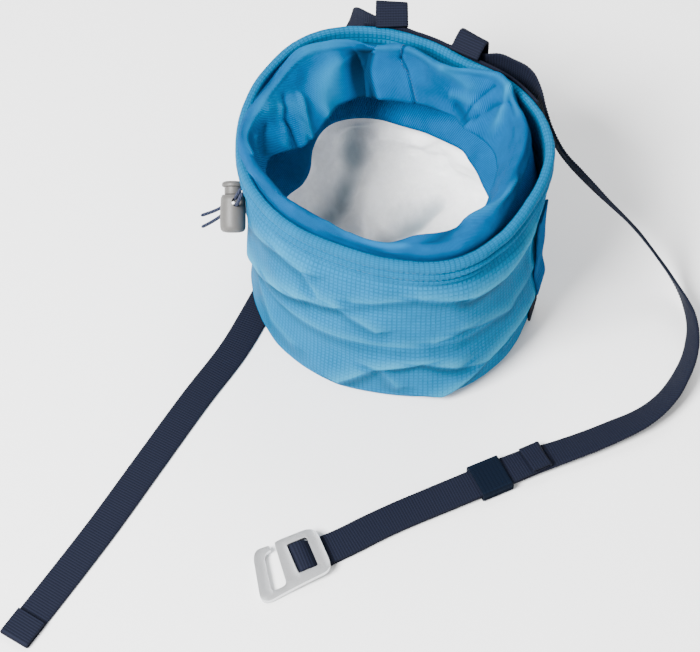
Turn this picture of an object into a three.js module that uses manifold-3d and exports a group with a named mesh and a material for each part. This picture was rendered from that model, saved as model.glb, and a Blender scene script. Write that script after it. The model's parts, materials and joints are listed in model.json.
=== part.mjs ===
import * as THREE from 'three';
import { mergeVertices } from 'three/addons/utils/BufferGeometryUtils.js';
import Module from 'manifold-3d';

// A climbing chalk bag that stands open on a flat surface, in millimetres.
// The origin is the centre of its base, +Z is up and +Y runs from its front to its back.

// Main sizes of the bag
const RIM_HEIGHT = 108;
const RIM_RADIUS = 72.5;
const BASE_RADIUS = 72;
const SHELL_WALL = 1.4;
const FLOOR_THICKNESS = 3;
const BASE_CORNER = 6;
const FOLD_RISE = 2.6;
const WAIST_DEPTH = 3.2;
const CLEARANCE = 0.3;
const AROUND = 60;

// Steps along each band and cord, and round each turned piece
const STEPS = {
  tape: 20, loop: 18, beltBack: 15, beltLeft: 54, beltRight: 64, tail: 50, side: 14, cord: 15, turned: 16,
};

// Rim hem: the turned band outside, its fold over the edge and its facing inside
const HEM_DEPTH = 13;
const HEM_LAYER = 0.9;
const FACING_DEPTH = 30;
const FIRST_STITCH = 6;
const SECOND_STITCH = 11;
const STITCH_DIP = 0.35;

// Collar: one layer of twill that rises inside the rim and folds down into the mouth
const COLLAR_THICKNESS = 1.5;
const COLLAR_RISE = 7;
const COLLAR_SEAM_HEIGHT = 54;
const COLLAR_SEAM_INSET = 9.5;
const COLLAR_JOIN_HEIGHT = 74;
const FLAP_DEPTH = 20;

// Fleece lining: a thick pile cup
const PILE = 5;
const PILE_LUMP = 1.6;
const LINING_GAP = 4;
const LINING_AROUND = 48;

// Webbing, the tape behind the rim and the loops that carry the belt
const WEBBING_WIDTH = 15;
const WEBBING_THICKNESS = 1.3;
const GROOVE_OVERRUN = 30;
const TAPE_THICKNESS = 1.1;
const TAPE_LIFT = 0.8;
const TAPE_START = 19;
const TAPE_END = 101;
const LOOP_WIDTH = 15.5;
const LEFT_LOOP_ANGLE = 90.5;
const RIGHT_LOOP_ANGLE = 57.5;
const LEFT_LOOP_REACH = 13;
const RIGHT_LOOP_REACH = 10.4;
const LOOP_YAW = 6;

// Belt ends, keeper and hook
const END_FOLD = 12;
const TAIL_FOLD = 8.5;
const KEEPER_LENGTH = 15.5;
const KEEPER_WALL = 1.2;
const KEEPER_ROUND = 1.6;
const HOOK_LENGTH = 36.5;
const HOOK_WIDTH = 30.1;
const HOOK_THICKNESS = 2.4;
const HOOK_REACH = 31;
const HOOK_SLOT = 9.8;
const HOOK_SLOT_ROUND = 0.8;
const HOOK_BAR_WIDTH = 2.8;
const HOOK_BAR_THICKNESS = 1.2;
const HOOK_TILT = 6.4;
const HOOK_HEADING = 201.7;

// Drawcord and its spring lock
const CORD_DIAMETER = 1.6;
const LOCK_RADIUS = 6.1;
const LOCK_BARREL = 17.6;
const LOCK_HOLE = 6.4;
const LOCK_HOLE_DROP = 3.6;
const BUTTON_RADIUS = 5.1;
const BUTTON_NECK = 3.8;
const BUTTON_CAP = 2.8;

// Holder on the right side
const SIDE_ANGLE = 343;
const SIDE_WIDTH = 15;
const SIDE_LOOP_TOP = 82;
const SIDE_LOOP_BOTTOM = 27;
const SIDE_LOOP_BULGE = 0.3;
const SIDE_LOOP_THICKNESS = 1.2;
const SIDE_WEBBING_TOP = 24;
const SIDE_WEBBING_BOTTOM = 4;

const wasm = await Module();
wasm.setup();

const bag = new THREE.Group();

// Materials, one per sub-part
const colours = {
  ripstop: { color: 0x2f9fd8, roughness: 0.7, metalness: 0 },
  twill: { color: 0x0a8fd6, roughness: 0.8, metalness: 0 },
  fleece: { color: 0xe9edf0, roughness: 1, metalness: 0 },
  webbing: { color: 0x1d2438, roughness: 0.85, metalness: 0 },
  keeper: { color: 0x14202f, roughness: 0.75, metalness: 0 },
  aluminium: { color: 0xd9dcdd, roughness: 0.35, metalness: 1 },
  plastic: { color: 0x74716c, roughness: 0.5, metalness: 0 },
  cord: { color: 0x3a4560, roughness: 0.85, metalness: 0 },
};

function place(name, geometry, finish) {
  const mesh = new THREE.Mesh(geometry, new THREE.MeshStandardMaterial(colours[finish]));
  mesh.name = name;
  bag.add(mesh);
  return mesh;
}

const radians = THREE.MathUtils.degToRad;

// Plan of the wall: radius shares of RIM_RADIUS and BASE_RADIUS, and the waist between them
const PLAN = [
  { angle: 0, rim: 0.999, base: 0.983, waist: 0.4 },
  { angle: 30, rim: 0.928, base: 0.965, waist: 0.3 },
  { angle: 55, rim: 0.861, base: 0.945, waist: 0.1 },
  { angle: 75, rim: 0.91, base: 0.955, waist: 0.1 },
  { angle: 95, rim: 1.0, base: 0.98, waist: 0.4 },
  { angle: 120, rim: 1.088, base: 1.02, waist: 0.8 },
  { angle: 145, rim: 1.048, base: 1.015, waist: 0.9 },
  { angle: 170, rim: 1.014, base: 1.003, waist: 1.0 },
  { angle: 200, rim: 1.0, base: 0.988, waist: 0.9 },
  { angle: 220, rim: 0.975, base: 0.98, waist: 0.4 },
  { angle: 245, rim: 0.946, base: 0.986, waist: 0.2 },
  { angle: 265, rim: 0.977, base: 0.995, waist: 0.3 },
  { angle: 290, rim: 1.043, base: 1.052, waist: 0.6 },
  { angle: 310, rim: 1.015, base: 1.043, waist: 0.7 },
  { angle: 330, rim: 0.985, base: 1.02, waist: 0.6 },
];

// Folds of the shell: a ridge between two places, given as angles and shares of RIM_HEIGHT
const FOLDS = [
  { from: 203, fromHeight: 0.66, to: 222, toHeight: 0.76, rise: 0.5 },
  { from: 222, fromHeight: 0.76, to: 252, toHeight: 0.63, rise: 0.7 },
  { from: 196, fromHeight: 0.4, to: 226, toHeight: 0.6, rise: 1.0 },
  { from: 226, fromHeight: 0.6, to: 264, toHeight: 0.49, rise: 0.8 },
  { from: 276, fromHeight: 0.75, to: 300, toHeight: 0.72, rise: 0.6 },
  { from: 290, fromHeight: 0.6, to: 327, toHeight: 0.56, rise: 0.8 },
  { from: 248, fromHeight: 0.1, to: 279, toHeight: 0.34, rise: 0.9 },
  { from: 279, fromHeight: 0.34, to: 303, toHeight: 0.22, rise: 0.9 },
  { from: 333, fromHeight: 0.32, to: 303, toHeight: 0.2, rise: 1.0 },
  { from: 303, fromHeight: 0.2, to: 288, toHeight: 0.07, rise: 0.9 },
  { from: 120, fromHeight: 0.55, to: 158, toHeight: 0.42, rise: 0.7 },
  { from: 40, fromHeight: 0.3, to: 85, toHeight: 0.45, rise: 0.7 },
];
const FOLD_ABOVE = 11;
const FOLD_BELOW = 4;

// Folded collar, insets as shares of RIM_RADIUS, rise of COLLAR_RISE and drop of FLAP_DEPTH
const COLLAR = [
  { angle: 0, lip: 0.165, rise: 0.7, turn: 0.221, flap: 0.338, drop: 0.9 },
  { angle: 18, lip: 0.138, rise: 0.7, turn: 0.193, flap: 0.331, drop: 0.9 },
  { angle: 34, lip: 0.055, rise: 0.64, turn: 0.124, flap: 0.379, drop: 0.8 },
  { angle: 46, lip: 0.11, rise: 0.57, turn: 0.166, flap: 0.317, drop: 0.85 },
  { angle: 64, lip: 0.2, rise: 0.57, turn: 0.248, flap: 0.317, drop: 0.9 },
  { angle: 82, lip: 0.172, rise: 0.57, turn: 0.228, flap: 0.393, drop: 0.9 },
  { angle: 98, lip: 0.214, rise: 0.5, turn: 0.276, flap: 0.441, drop: 0.9 },
  { angle: 118, lip: 0.179, rise: 0.5, turn: 0.248, flap: 0.455, drop: 0.9 },
  { angle: 132, lip: 0.11, rise: 0.5, turn: 0.193, flap: 0.455, drop: 0.9 },
  { angle: 150, lip: 0.11, rise: 0.5, turn: 0.179, flap: 0.469, drop: 0.9 },
  { angle: 167, lip: 0.048, rise: 0.57, turn: 0.138, flap: 0.4, drop: 0.85 },
  { angle: 182, lip: 0.012, rise: 0.64, turn: 0.076, flap: 0.193, drop: 0.6 },
  { angle: 196, lip: 0.035, rise: 0.75, turn: 0.1, flap: 0.166, drop: 0.7 },
  { angle: 212, lip: 0.072, rise: 0.9, turn: 0.124, flap: 0.179, drop: 0.9 },
  { angle: 232, lip: 0.072, rise: 0.85, turn: 0.115, flap: 0.166, drop: 0.9 },
  { angle: 250, lip: 0.072, rise: 0.35, turn: 0.115, flap: 0.145, drop: 1.0 },
  { angle: 266, lip: 0.072, rise: 0.45, turn: 0.12, flap: 0.152, drop: 1.0 },
  { angle: 278, lip: 0.072, rise: 0.9, turn: 0.19, flap: 0.248, drop: 1.0 },
  { angle: 294, lip: 0.075, rise: 0.95, turn: 0.214, flap: 0.276, drop: 1.0 },
  { angle: 307, lip: 0.083, rise: 0.9, turn: 0.207, flap: 0.276, drop: 0.9 },
  { angle: 322, lip: 0.131, rise: 0.8, turn: 0.207, flap: 0.303, drop: 0.9 },
  { angle: 340, lip: 0.172, rise: 0.72, turn: 0.228, flap: 0.331, drop: 0.9 },
];

// A column of a table read at any angle, on a smooth closed curve through its rows
function around(table, column, degrees) {
  const count = table.length;
  const angle = THREE.MathUtils.euclideanModulo(degrees, 360);
  const row = table.findLastIndex((entry) => entry.angle <= angle);
  const knot = (k) => {
    const turns = Math.floor(k / count);
    const entry = table[k - turns * count];
    return { angle: entry.angle + 360 * turns, value: entry[column] };
  };
  const [before, start, end, after] = [row - 1, row, row + 1, row + 2].map(knot);
  const span = end.angle - start.angle;
  const startSlope = (end.value - before.value) / (end.angle - before.angle);
  const endSlope = (after.value - start.value) / (after.angle - start.angle);
  const t = (angle - start.angle) / span;
  const blend = t * t * (3 - 2 * t);
  const lift = t * (1 - t) * span * (startSlope * (1 - t) - endSlope * t);
  return start.value + (end.value - start.value) * blend + lift;
}

// How far the folds stand out of the wall at an angle and height
function foldRise(degrees, height) {
  let rise = 0;
  for (const fold of FOLDS) {
    const reach = (angle) => radians(angle) * RIM_RADIUS;
    const start = new THREE.Vector2(reach(fold.from), fold.fromHeight * RIM_HEIGHT);
    const run = new THREE.Vector2(reach(fold.to), fold.toHeight * RIM_HEIGHT).sub(start);
    const here = new THREE.Vector2(reach(degrees), height).sub(start);
    const share = THREE.MathUtils.clamp(here.dot(run) / run.lengthSq(), 0, 1);
    const away = here.sub(run.multiplyScalar(share));
    const width = away.y > 0 ? FOLD_ABOVE : FOLD_BELOW;
    rise = Math.max(rise, fold.rise * Math.exp(-away.lengthSq() / (width * width)));
  }
  const fade = THREE.MathUtils.smoothstep(RIM_HEIGHT - HEM_DEPTH - height, 1, 14);
  return FOLD_RISE * rise * fade * THREE.MathUtils.smoothstep(height, 0, BASE_CORNER);
}

function wallRadius(degrees, height) {
  const share = THREE.MathUtils.clamp(height / RIM_HEIGHT, 0, 1);
  const base = around(PLAN, 'base', degrees) * BASE_RADIUS;
  const rim = around(PLAN, 'rim', degrees) * RIM_RADIUS;
  const waist = around(PLAN, 'waist', degrees) * WAIST_DEPTH * 4 * share * (1 - share);
  return base + (rim - base) * share - waist + foldRise(degrees, height);
}

// The hem band hides the waist, so the rim keeps one radius down its whole depth
function rimRadius(degrees) {
  return wallRadius(degrees, RIM_HEIGHT);
}

function polar(degrees, radius, height) {
  const angle = radians(degrees);
  return new THREE.Vector3(radius * Math.cos(angle), radius * Math.sin(angle), height);
}

// A closed body from a grid of points: rows[i][j] runs round each section j
function closedBody(rows, { wrapRows, capRows }) {
  const columns = rows[0].length;
  const points = rows.flat();
  const triangles = [];
  const last = wrapRows ? rows.length : rows.length - 1;
  for (let i = 0; i < last; i += 1) {
    const next = (i + 1) % rows.length;
    for (let j = 0; j < columns; j += 1) {
      const side = (j + 1) % columns;
      const [a, b] = [i * columns + j, i * columns + side];
      const [c, d] = [next * columns + side, next * columns + j];
      triangles.push([a, b, c], [a, c, d]);
    }
  }
  if (capRows) {
    const end = (rows.length - 1) * columns;
    for (let j = 1; j < columns - 1; j += 1) {
      triangles.push([0, j + 1, j], [end, end + j, end + j + 1]);
    }
  }
  const geometry = new THREE.BufferGeometry().setFromPoints(points);
  geometry.setIndex(triangles.flat());
  return outward(merged(geometry));
}

function merged(geometry) {
  geometry.deleteAttribute('normal');
  geometry.deleteAttribute('uv');
  const clean = mergeVertices(geometry, 1e-5);
  const index = clean.index.array;
  const kept = [];
  for (let i = 0; i < index.length; i += 3) {
    const [a, b, c] = [index[i], index[i + 1], index[i + 2]];
    if (a !== b && b !== c && a !== c) kept.push(a, b, c);
  }
  clean.setIndex(kept);
  return clean;
}

function signedVolume(geometry) {
  const position = geometry.attributes.position;
  const index = geometry.index.array;
  const corner = (i) => new THREE.Vector3().fromBufferAttribute(position, index[i]);
  let volume = 0;
  for (let i = 0; i < index.length; i += 3) {
    volume += corner(i).dot(corner(i + 1).cross(corner(i + 2))) / 6;
  }
  return volume;
}

function outward(geometry) {
  if (signedVolume(geometry) < 0) geometry.setIndex([...geometry.index.array].reverse());
  geometry.computeVertexNormals();
  return geometry;
}

// Boolean helpers
function solid(geometry) {
  const clean = outward(merged(geometry.clone()));
  const mesh = new wasm.Mesh({
    numProp: 3,
    vertProperties: new Float32Array(clean.attributes.position.array),
    triVerts: new Uint32Array(clean.index.array),
  });
  return new wasm.Manifold(mesh);
}

function fromSolid(manifold) {
  const mesh = manifold.getMesh();
  const geometry = new THREE.BufferGeometry();
  geometry.setAttribute('position', new THREE.BufferAttribute(mesh.vertProperties, 3));
  geometry.setIndex(new THREE.BufferAttribute(mesh.triVerts, 1));
  geometry.computeVertexNormals();
  return geometry;
}

// A vessel turned round the axis: its section starts and ends on the axis
function vessel(section, steps = AROUND) {
  const rows = section(0).map((_, k) => Array.from({ length: steps }, (_, j) => {
    const { radius, height } = section((360 * j) / steps)[k];
    return polar((360 * j) / steps, radius, height);
  }));
  return closedBody(rows, { wrapRows: false, capRows: false });
}

// A ring round the axis with a closed section
function ring(section, steps = AROUND) {
  const rows = Array.from({ length: steps }, (_, i) => {
    const degrees = (360 * i) / steps;
    return section(degrees).map(({ radius, height }) => polar(degrees, radius, height));
  });
  return closedBody(rows, { wrapRows: true, capRows: false });
}

// Shell: outer bucket of ripstop, with a groove under it where the belt runs
const hemBottom = RIM_HEIGHT - HEM_DEPTH;
const shellTop = RIM_HEIGHT - HEM_LAYER - 3 * CLEARANCE;
const hemSeat = HEM_LAYER + CLEARANCE;
const neckHeight = hemBottom - 1;
const wallTop = hemBottom - 8;
const SHELL_HEIGHTS = [0.11, 0.2, 0.29, 0.38, 0.47, 0.56, 0.65, 0.74];

function shellSection(degrees) {
  const outer = (height, inset = 0) => ({ radius: wallRadius(degrees, height) - inset, height });
  const rim = rimRadius(degrees);
  const inner = (point) => ({ radius: point.radius - SHELL_WALL, height: point.height });
  const wall = [
    ...SHELL_HEIGHTS.map((share) => outer(share * RIM_HEIGHT)),
    outer(wallTop),
  ];
  const neck = { radius: rim - hemSeat, height: neckHeight };
  const top = { radius: rim - hemSeat, height: shellTop };
  return [
    { radius: 0, height: 0 },
    outer(0, BASE_CORNER),
    outer(BASE_CORNER * 0.3, BASE_CORNER * 0.3),
    outer(BASE_CORNER),
    ...wall, neck, top,
    inner(top), inner(neck),
    ...wall.map(inner).reverse(),
    { radius: wallRadius(degrees, BASE_CORNER) - SHELL_WALL - 2, height: FLOOR_THICKNESS },
    { radius: 0, height: FLOOR_THICKNESS },
  ];
}

// The shell's inner face, and the facing that lies against it
function innerFace(degrees, height) {
  const neck = rimRadius(degrees) - hemSeat - SHELL_WALL;
  const wall = wallRadius(degrees, Math.min(height, wallTop)) - SHELL_WALL;
  const share = THREE.MathUtils.clamp((height - wallTop) / (neckHeight - wallTop), 0, 1);
  return wall + (neck - wall) * share;
}

function facingRadius(degrees, height) {
  return innerFace(degrees, height) - CLEARANCE;
}

// Hem: closed ring that wraps the shell's top edge
function hemSection(degrees) {
  const rim = rimRadius(degrees);
  const at = (inset, drop) => ({ radius: rim - inset, height: RIM_HEIGHT - drop });
  const facing = (height, inset) => ({ radius: facingRadius(degrees, height) - inset, height });
  const turned = RIM_HEIGHT - HEM_LAYER;
  const drops = [turned, neckHeight, wallTop, RIM_HEIGHT - FACING_DEPTH];
  return [
    at(HEM_LAYER, HEM_DEPTH),
    at(0, HEM_DEPTH),
    at(STITCH_DIP, SECOND_STITCH),
    at(0, (FIRST_STITCH + SECOND_STITCH) / 2),
    at(STITCH_DIP, FIRST_STITCH),
    at(0, FIRST_STITCH / 2),
    at(HEM_LAYER, 0),
    facing(RIM_HEIGHT, 0),
    ...drops.map((height) => facing(height, HEM_LAYER)),
    ...drops.slice(1).reverse().map((height) => facing(height, 0)),
    facing(turned - CLEARANCE, 0),
    at(HEM_LAYER, HEM_LAYER + CLEARANCE),
  ];
}

// Collar: the middle line of the folded twill, from the fleece seam over the crest to the flap
function collarLine(degrees) {
  const rim = rimRadius(degrees);
  const share = (column) => around(COLLAR, column, degrees);
  const lip = share('lip') * RIM_RADIUS;
  const turn = share('turn') * RIM_RADIUS;
  const flap = share('flap') * RIM_RADIUS;
  const crest = RIM_HEIGHT + share('rise') * COLLAR_RISE;
  const flapHeight = RIM_HEIGHT - share('drop') * FLAP_DEPTH;
  const leg = (height) => (
    facingRadius(degrees, height) - HEM_LAYER - CLEARANCE - COLLAR_THICKNESS / 2
  );
  const seat = rim - leg(RIM_HEIGHT);
  const middle = (COLLAR_JOIN_HEIGHT + RIM_HEIGHT) / 2;
  const overRim = RIM_HEIGHT + 2 * CLEARANCE + COLLAR_THICKNESS / 2;
  const throat = Math.max(seat, lip * 0.9);
  return [
    { radius: rim - COLLAR_SEAM_INSET, height: COLLAR_SEAM_HEIGHT },
    { radius: leg(COLLAR_JOIN_HEIGHT) - CLEARANCE, height: COLLAR_JOIN_HEIGHT },
    { radius: Math.min(leg(middle), rim - (seat + throat) / 2), height: middle },
    { radius: rim - throat, height: RIM_HEIGHT - 2 },
    { radius: rim - throat, height: RIM_HEIGHT + 2 * CLEARANCE },
    { radius: rim - lip, height: Math.max(overRim, crest - 2) },
    { radius: rim - (lip * 2 + turn) / 3, height: Math.max(overRim, crest) + 0.4 },
    { radius: rim - turn, height: crest - 1.2 },
    { radius: rim - (turn * 2 + flap) / 3, height: (crest * 2 + flapHeight) / 3 - 1 },
    { radius: rim - flap, height: flapHeight },
  ];
}

// Both faces of a bent sheet, half its thickness to each side of its middle line
function thicken(line, thickness) {
  const at = (point) => new THREE.Vector2(point.radius, point.height);
  const offset = (sign) => line.map((point, k) => {
    const before = at(line[Math.max(k - 1, 0)]);
    const after = at(line[Math.min(k + 1, line.length - 1)]);
    const run = after.sub(before).normalize();
    const normal = new THREE.Vector2(-run.y, run.x).multiplyScalar((sign * thickness) / 2);
    return { radius: point.radius + normal.x, height: point.height + normal.y };
  });
  return [...offset(-1), ...offset(1).reverse()];
}

// Fleece: a cup of thick pile that fills the shell up to the collar's seam
const liningTop = COLLAR_SEAM_HEIGHT - CLEARANCE;
const LINING_HEIGHTS = [0.2, 0.45, 0.7];

function lump(degrees, height) {
  const angle = radians(degrees);
  return PILE_LUMP * (Math.sin(3 * angle + height / 9) + Math.sin(5 * angle - height / 6)) * 0.5;
}

function liningSection(degrees) {
  const outer = (height, inset) => ({
    radius: wallRadius(degrees, height) - SHELL_WALL - LINING_GAP - inset, height,
  });
  const floor = FLOOR_THICKNESS + CLEARANCE;
  const inner = (height, inset) => ({
    radius: wallRadius(degrees, height) - SHELL_WALL - LINING_GAP - PILE - inset
      + lump(degrees, height),
    height,
  });
  return [
    { radius: 0, height: floor },
    outer(floor, 4),
    outer(floor + 4, 0),
    outer(liningTop * 0.5, 0),
    outer(liningTop, 0),
    inner(liningTop, 1),
    ...LINING_HEIGHTS.map((share) => inner(liningTop * (1 - share), 1)),
    { radius: BASE_RADIUS * 0.72 + lump(degrees, 0), height: floor + PILE * 1.2 },
    { radius: BASE_RADIUS * 0.36, height: floor + PILE + lump(degrees * 2, 20) },
    { radius: 0, height: floor + PILE },
  ];
}

// A flat band swept along points, each with its own direction across the band
function ribbon(stations, width, thickness) {
  const rows = stations.map(({ at, across }, k) => {
    const before = stations[Math.max(k - 1, 0)].at;
    const after = stations[Math.min(k + 1, stations.length - 1)].at;
    const run = after.clone().sub(before).normalize();
    const side = across.clone().addScaledVector(run, -across.dot(run)).normalize();
    const up = new THREE.Vector3().crossVectors(run, side);
    const corner = (s, t) => at.clone().addScaledVector(side, (s * width) / 2)
      .addScaledVector(up, (t * thickness) / 2);
    return [corner(-1, -1), corner(1, -1), corner(1, 1), corner(-1, 1)];
  });
  return closedBody(rows, { wrapRows: false, capRows: true });
}

// The direction across a band, from its turn in plan and its tip above the level
function facing({ turn, tip }) {
  return polar(turn, Math.cos(radians(tip)), Math.sin(radians(tip)));
}

// Stations of a band along a route table
function stationsAlong(route, steps) {
  const places = route.map((row) => new THREE.Vector3(row.x, row.y, row.z));
  const path = new THREE.CatmullRomCurve3(places);
  const across = new THREE.CatmullRomCurve3(route.map(facing));
  return Array.from({ length: steps + 1 }, (_, k) => (
    { at: path.getPoint(k / steps), across: across.getPoint(k / steps).normalize() }
  ));
}

// A round tube along points
function tube(places, diameter, steps) {
  const outline = new THREE.Shape();
  outline.absarc(0, 0, diameter / 2, 0, 2 * Math.PI);
  const path = new THREE.CatmullRomCurve3(places);
  const extruded = { steps, curveSegments: 4, bevelEnabled: false, extrudePath: path };
  return outward(merged(new THREE.ExtrudeGeometry(outline, extruded)));
}

// A plan outline with rounded corners, from rows of u, v and the corner's size
function rounded(target, corners) {
  corners.forEach((corner, k) => {
    const before = corners[(k + corners.length - 1) % corners.length];
    const after = corners[(k + 1) % corners.length];
    const here = new THREE.Vector2(corner.u, corner.v);
    const towards = (other) => {
      const step = new THREE.Vector2(other.u, other.v).sub(here);
      return here.clone().add(step.setLength(Math.min(corner.round, step.length() / 2)));
    };
    const [enter, leave] = [towards(before), towards(after)];
    if (k === 0) target.moveTo(enter.x, enter.y);
    else target.lineTo(enter.x, enter.y);
    target.quadraticCurveTo(here.x, here.y, leave.x, leave.y);
  });
  target.closePath();
  return target;
}

// Belt routes, chosen by hand: place, then the turn and tip of the direction across the band
const BELT_RIGHT = [
  { x: 35.4, y: 55.8, z: 100.5, turn: -121, tip: 88 },
  { x: 43.4, y: 53.3, z: 101.6, turn: -121, tip: 86 },
  { x: 50.4, y: 52.6, z: 102.2, turn: -121, tip: 88 },
  { x: 56.8, y: 49.2, z: 102.0, turn: -58, tip: 84 },
  { x: 63.2, y: 43.2, z: 102.0, turn: -29, tip: 78 },
  { x: 67.5, y: 36.5, z: 99.6, turn: -65, tip: 68 },
  { x: 70.7, y: 28.8, z: 95.5, turn: -86, tip: 58 },
  { x: 74.1, y: 21.7, z: 90.0, turn: -86, tip: 48 },
  { x: 79.5, y: 15.2, z: 82.5, turn: -79, tip: 42 },
  { x: 86.9, y: 10.7, z: 75.0, turn: -71, tip: 40 },
  { x: 94.1, y: 7.3, z: 68.0, turn: -69, tip: 37 },
  { x: 101.0, y: 4.6, z: 61.0, turn: -70, tip: 33 },
  { x: 109.3, y: 2.3, z: 52.5, turn: -70, tip: 28 },
  { x: 116.9, y: 0.7, z: 44.0, turn: -71, tip: 24 },
  { x: 123.4, y: -0.8, z: 35.5, turn: -74, tip: 23 },
  { x: 128.9, y: -2.7, z: 28.2, turn: -78, tip: 26 },
  { x: 134.2, y: -5.5, z: 21.6, turn: -83, tip: 33 },
  { x: 139.1, y: -9.5, z: 16.0, turn: -92, tip: 44 },
  { x: 143.2, y: -14.9, z: 12.0, turn: -103, tip: 58 },
  { x: 146.2, y: -22.0, z: 9.4, turn: -111, tip: 75 },
  { x: 147.9, y: -31.0, z: 8.2, turn: -46, tip: 84 },
  { x: 147.4, y: -40.3, z: 7.8, turn: -16, tip: 74 },
  { x: 145.5, y: -49.6, z: 7.4, turn: -22, tip: 64 },
  { x: 142.1, y: -58.3, z: 6.9, turn: -32, tip: 55 },
  { x: 137.9, y: -65.9, z: 6.2, turn: -40, tip: 49 },
  { x: 132.6, y: -73.6, z: 5.5, turn: -46, tip: 41 },
  { x: 125.6, y: -80.6, z: 4.7, turn: -54, tip: 33 },
  { x: 116.9, y: -86.6, z: 3.9, turn: -61, tip: 25 },
  { x: 106.5, y: -91.6, z: 3.2, turn: -65, tip: 19 },
  { x: 93.7, y: -97.4, z: 2.8, turn: -67, tip: 16 },
  { x: 80.0, y: -102.9, z: 2.5, turn: -67, tip: 13 },
  { x: 66.0, y: -108.2, z: 2.2, turn: -66, tip: 7 },
  { x: 54.6, y: -113.2, z: 2.3, turn: -65, tip: 2 },
  { x: 44.7, y: -118.0, z: 2.3, turn: -65, tip: 0 },
  { x: 34.6, y: -122.5, z: 2.1, turn: -66, tip: 0 },
  { x: 22.0, y: -128.0, z: 1.3, turn: -65, tip: 0 },
  { x: 8.0, y: -134.2, z: 0.9, turn: -64, tip: 0 },
  { x: -6.0, y: -141.0, z: 0.8, turn: -61, tip: 0 },
  { x: -19.0, y: -148.4, z: 0.8, turn: -60, tip: 0 },
  { x: -31.0, y: -154.9, z: 0.8, turn: -62, tip: 0 },
];
const BELT_LEFT = [
  { x: -0.6, y: 75.6, z: 100, turn: 90, tip: 86 },
  { x: -6.5, y: 77.4, z: 100, turn: 95, tip: 82 },
  { x: -12.5, y: 81.6, z: 98.8, turn: 96, tip: 68 },
  { x: -17.6, y: 87.4, z: 95.2, turn: 88, tip: 48 },
  { x: -21.2, y: 93.0, z: 88.2, turn: 66, tip: 34 },
  { x: -23.2, y: 98.4, z: 78.6, turn: 38, tip: 22 },
  { x: -24.0, y: 102.6, z: 67.0, turn: 16, tip: 12 },
  { x: -24.2, y: 105.0, z: 54.0, turn: 4, tip: 5 },
  { x: -24.0, y: 105.2, z: 40.5, turn: -4, tip: 0 },
  { x: -23.6, y: 102.6, z: 27.5, turn: -9, tip: 0 },
  { x: -23.4, y: 97.0, z: 16.0, turn: -13, tip: 0 },
  { x: -23.8, y: 88.6, z: 7.2, turn: -17, tip: 0 },
  { x: -25.4, y: 78.4, z: 2.0, turn: -21, tip: 0 },
  { x: -29.4, y: 66.6, z: 0.8, turn: -25, tip: 0 },
  { x: -37.2, y: 49.0, z: 0.8, turn: -26, tip: 0 },
  { x: -48.4, y: 24.4, z: 0.8, turn: -26, tip: 0 },
  { x: -59.2, y: 0.0, z: 0.8, turn: -26, tip: 0 },
  { x: -67.8, y: -20.5, z: 0.8, turn: -27, tip: 0 },
  { x: -78.6, y: -44.0, z: 0.8, turn: -28, tip: 0 },
  { x: -96.1, y: -73.1, z: 0.8, turn: -29, tip: 0 },
  { x: -116.3, y: -109.0, z: 0.8, turn: -30, tip: 0 },
  { x: -135.5, y: -143.2, z: 0.8, turn: -31, tip: 0 },
  { x: -155.2, y: -175.8, z: 0.8, turn: -31, tip: 0 },
  { x: -163.3, y: -188.8, z: 0.8, turn: -31, tip: 0 },
];
const LEFT_END = { x: -169.9, y: -199.4 };

// The belt's tail: under the hook's bars, round the hidden bar and back over the belt
const BELT_TAIL = [
  { x: -31.3, y: -155.1, z: 0.8, turn: -67, tip: 0 },
  { x: -33.0, y: -156.0, z: 0.8, turn: -67, tip: 0 },
  { x: -37.0, y: -157.3, z: 0.8, turn: -67, tip: 0 },
  { x: -42.6, y: -159.4, z: 0.8, turn: -67, tip: 0 },
  { x: -44.8, y: -160.3, z: 1.1, turn: -67, tip: 0 },
  { x: -45.9, y: -160.7, z: 2.4, turn: -67, tip: 0 },
  { x: -45.6, y: -160.6, z: 4.2, turn: -67, tip: 0 },
  { x: -43.7, y: -159.8, z: 5.1, turn: -67, tip: 0 },
  { x: -41.6, y: -159.0, z: 5.2, turn: -67, tip: 0 },
  { x: -39.8, y: -158.3, z: 4.4, turn: -67, tip: 0 },
  { x: -38.6, y: -157.8, z: 3.0, turn: -67, tip: 0 },
  { x: -37.0, y: -157.1, z: 2.4, turn: -67, tip: 0 },
  { x: -32.6, y: -155.5, z: 2.4, turn: -67, tip: 0 },
  { x: -23.3, y: -151.1, z: 2.4, turn: -67, tip: 0 },
  { x: -11.7, y: -144.6, z: 2.4, turn: -67, tip: 0 },
  { x: 2.3, y: -137.4, z: 2.5, turn: -67, tip: 0 },
  { x: 16.4, y: -130.9, z: 2.9, turn: -67, tip: 0 },
  { x: 34.6, y: -122.8, z: 3.8, turn: -67, tip: 0 },
  { x: 44.7, y: -118.1, z: 4.0, turn: -67, tip: 0 },
  { x: 54.6, y: -113.4, z: 3.9, turn: -67, tip: 3 },
  { x: 63.5, y: -109.2, z: 3.9, turn: -67, tip: 7 },
];
const TAIL_TIP = { x: 70.5, y: -105.9, z: 4.1, turn: -67, tip: 9 };
const HOOK_AT = { x: -37.9, y: -157.5 };
const KEEPER_AT = { x: 44.7, y: -118, z: 2.3, turn: -65 };

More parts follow.
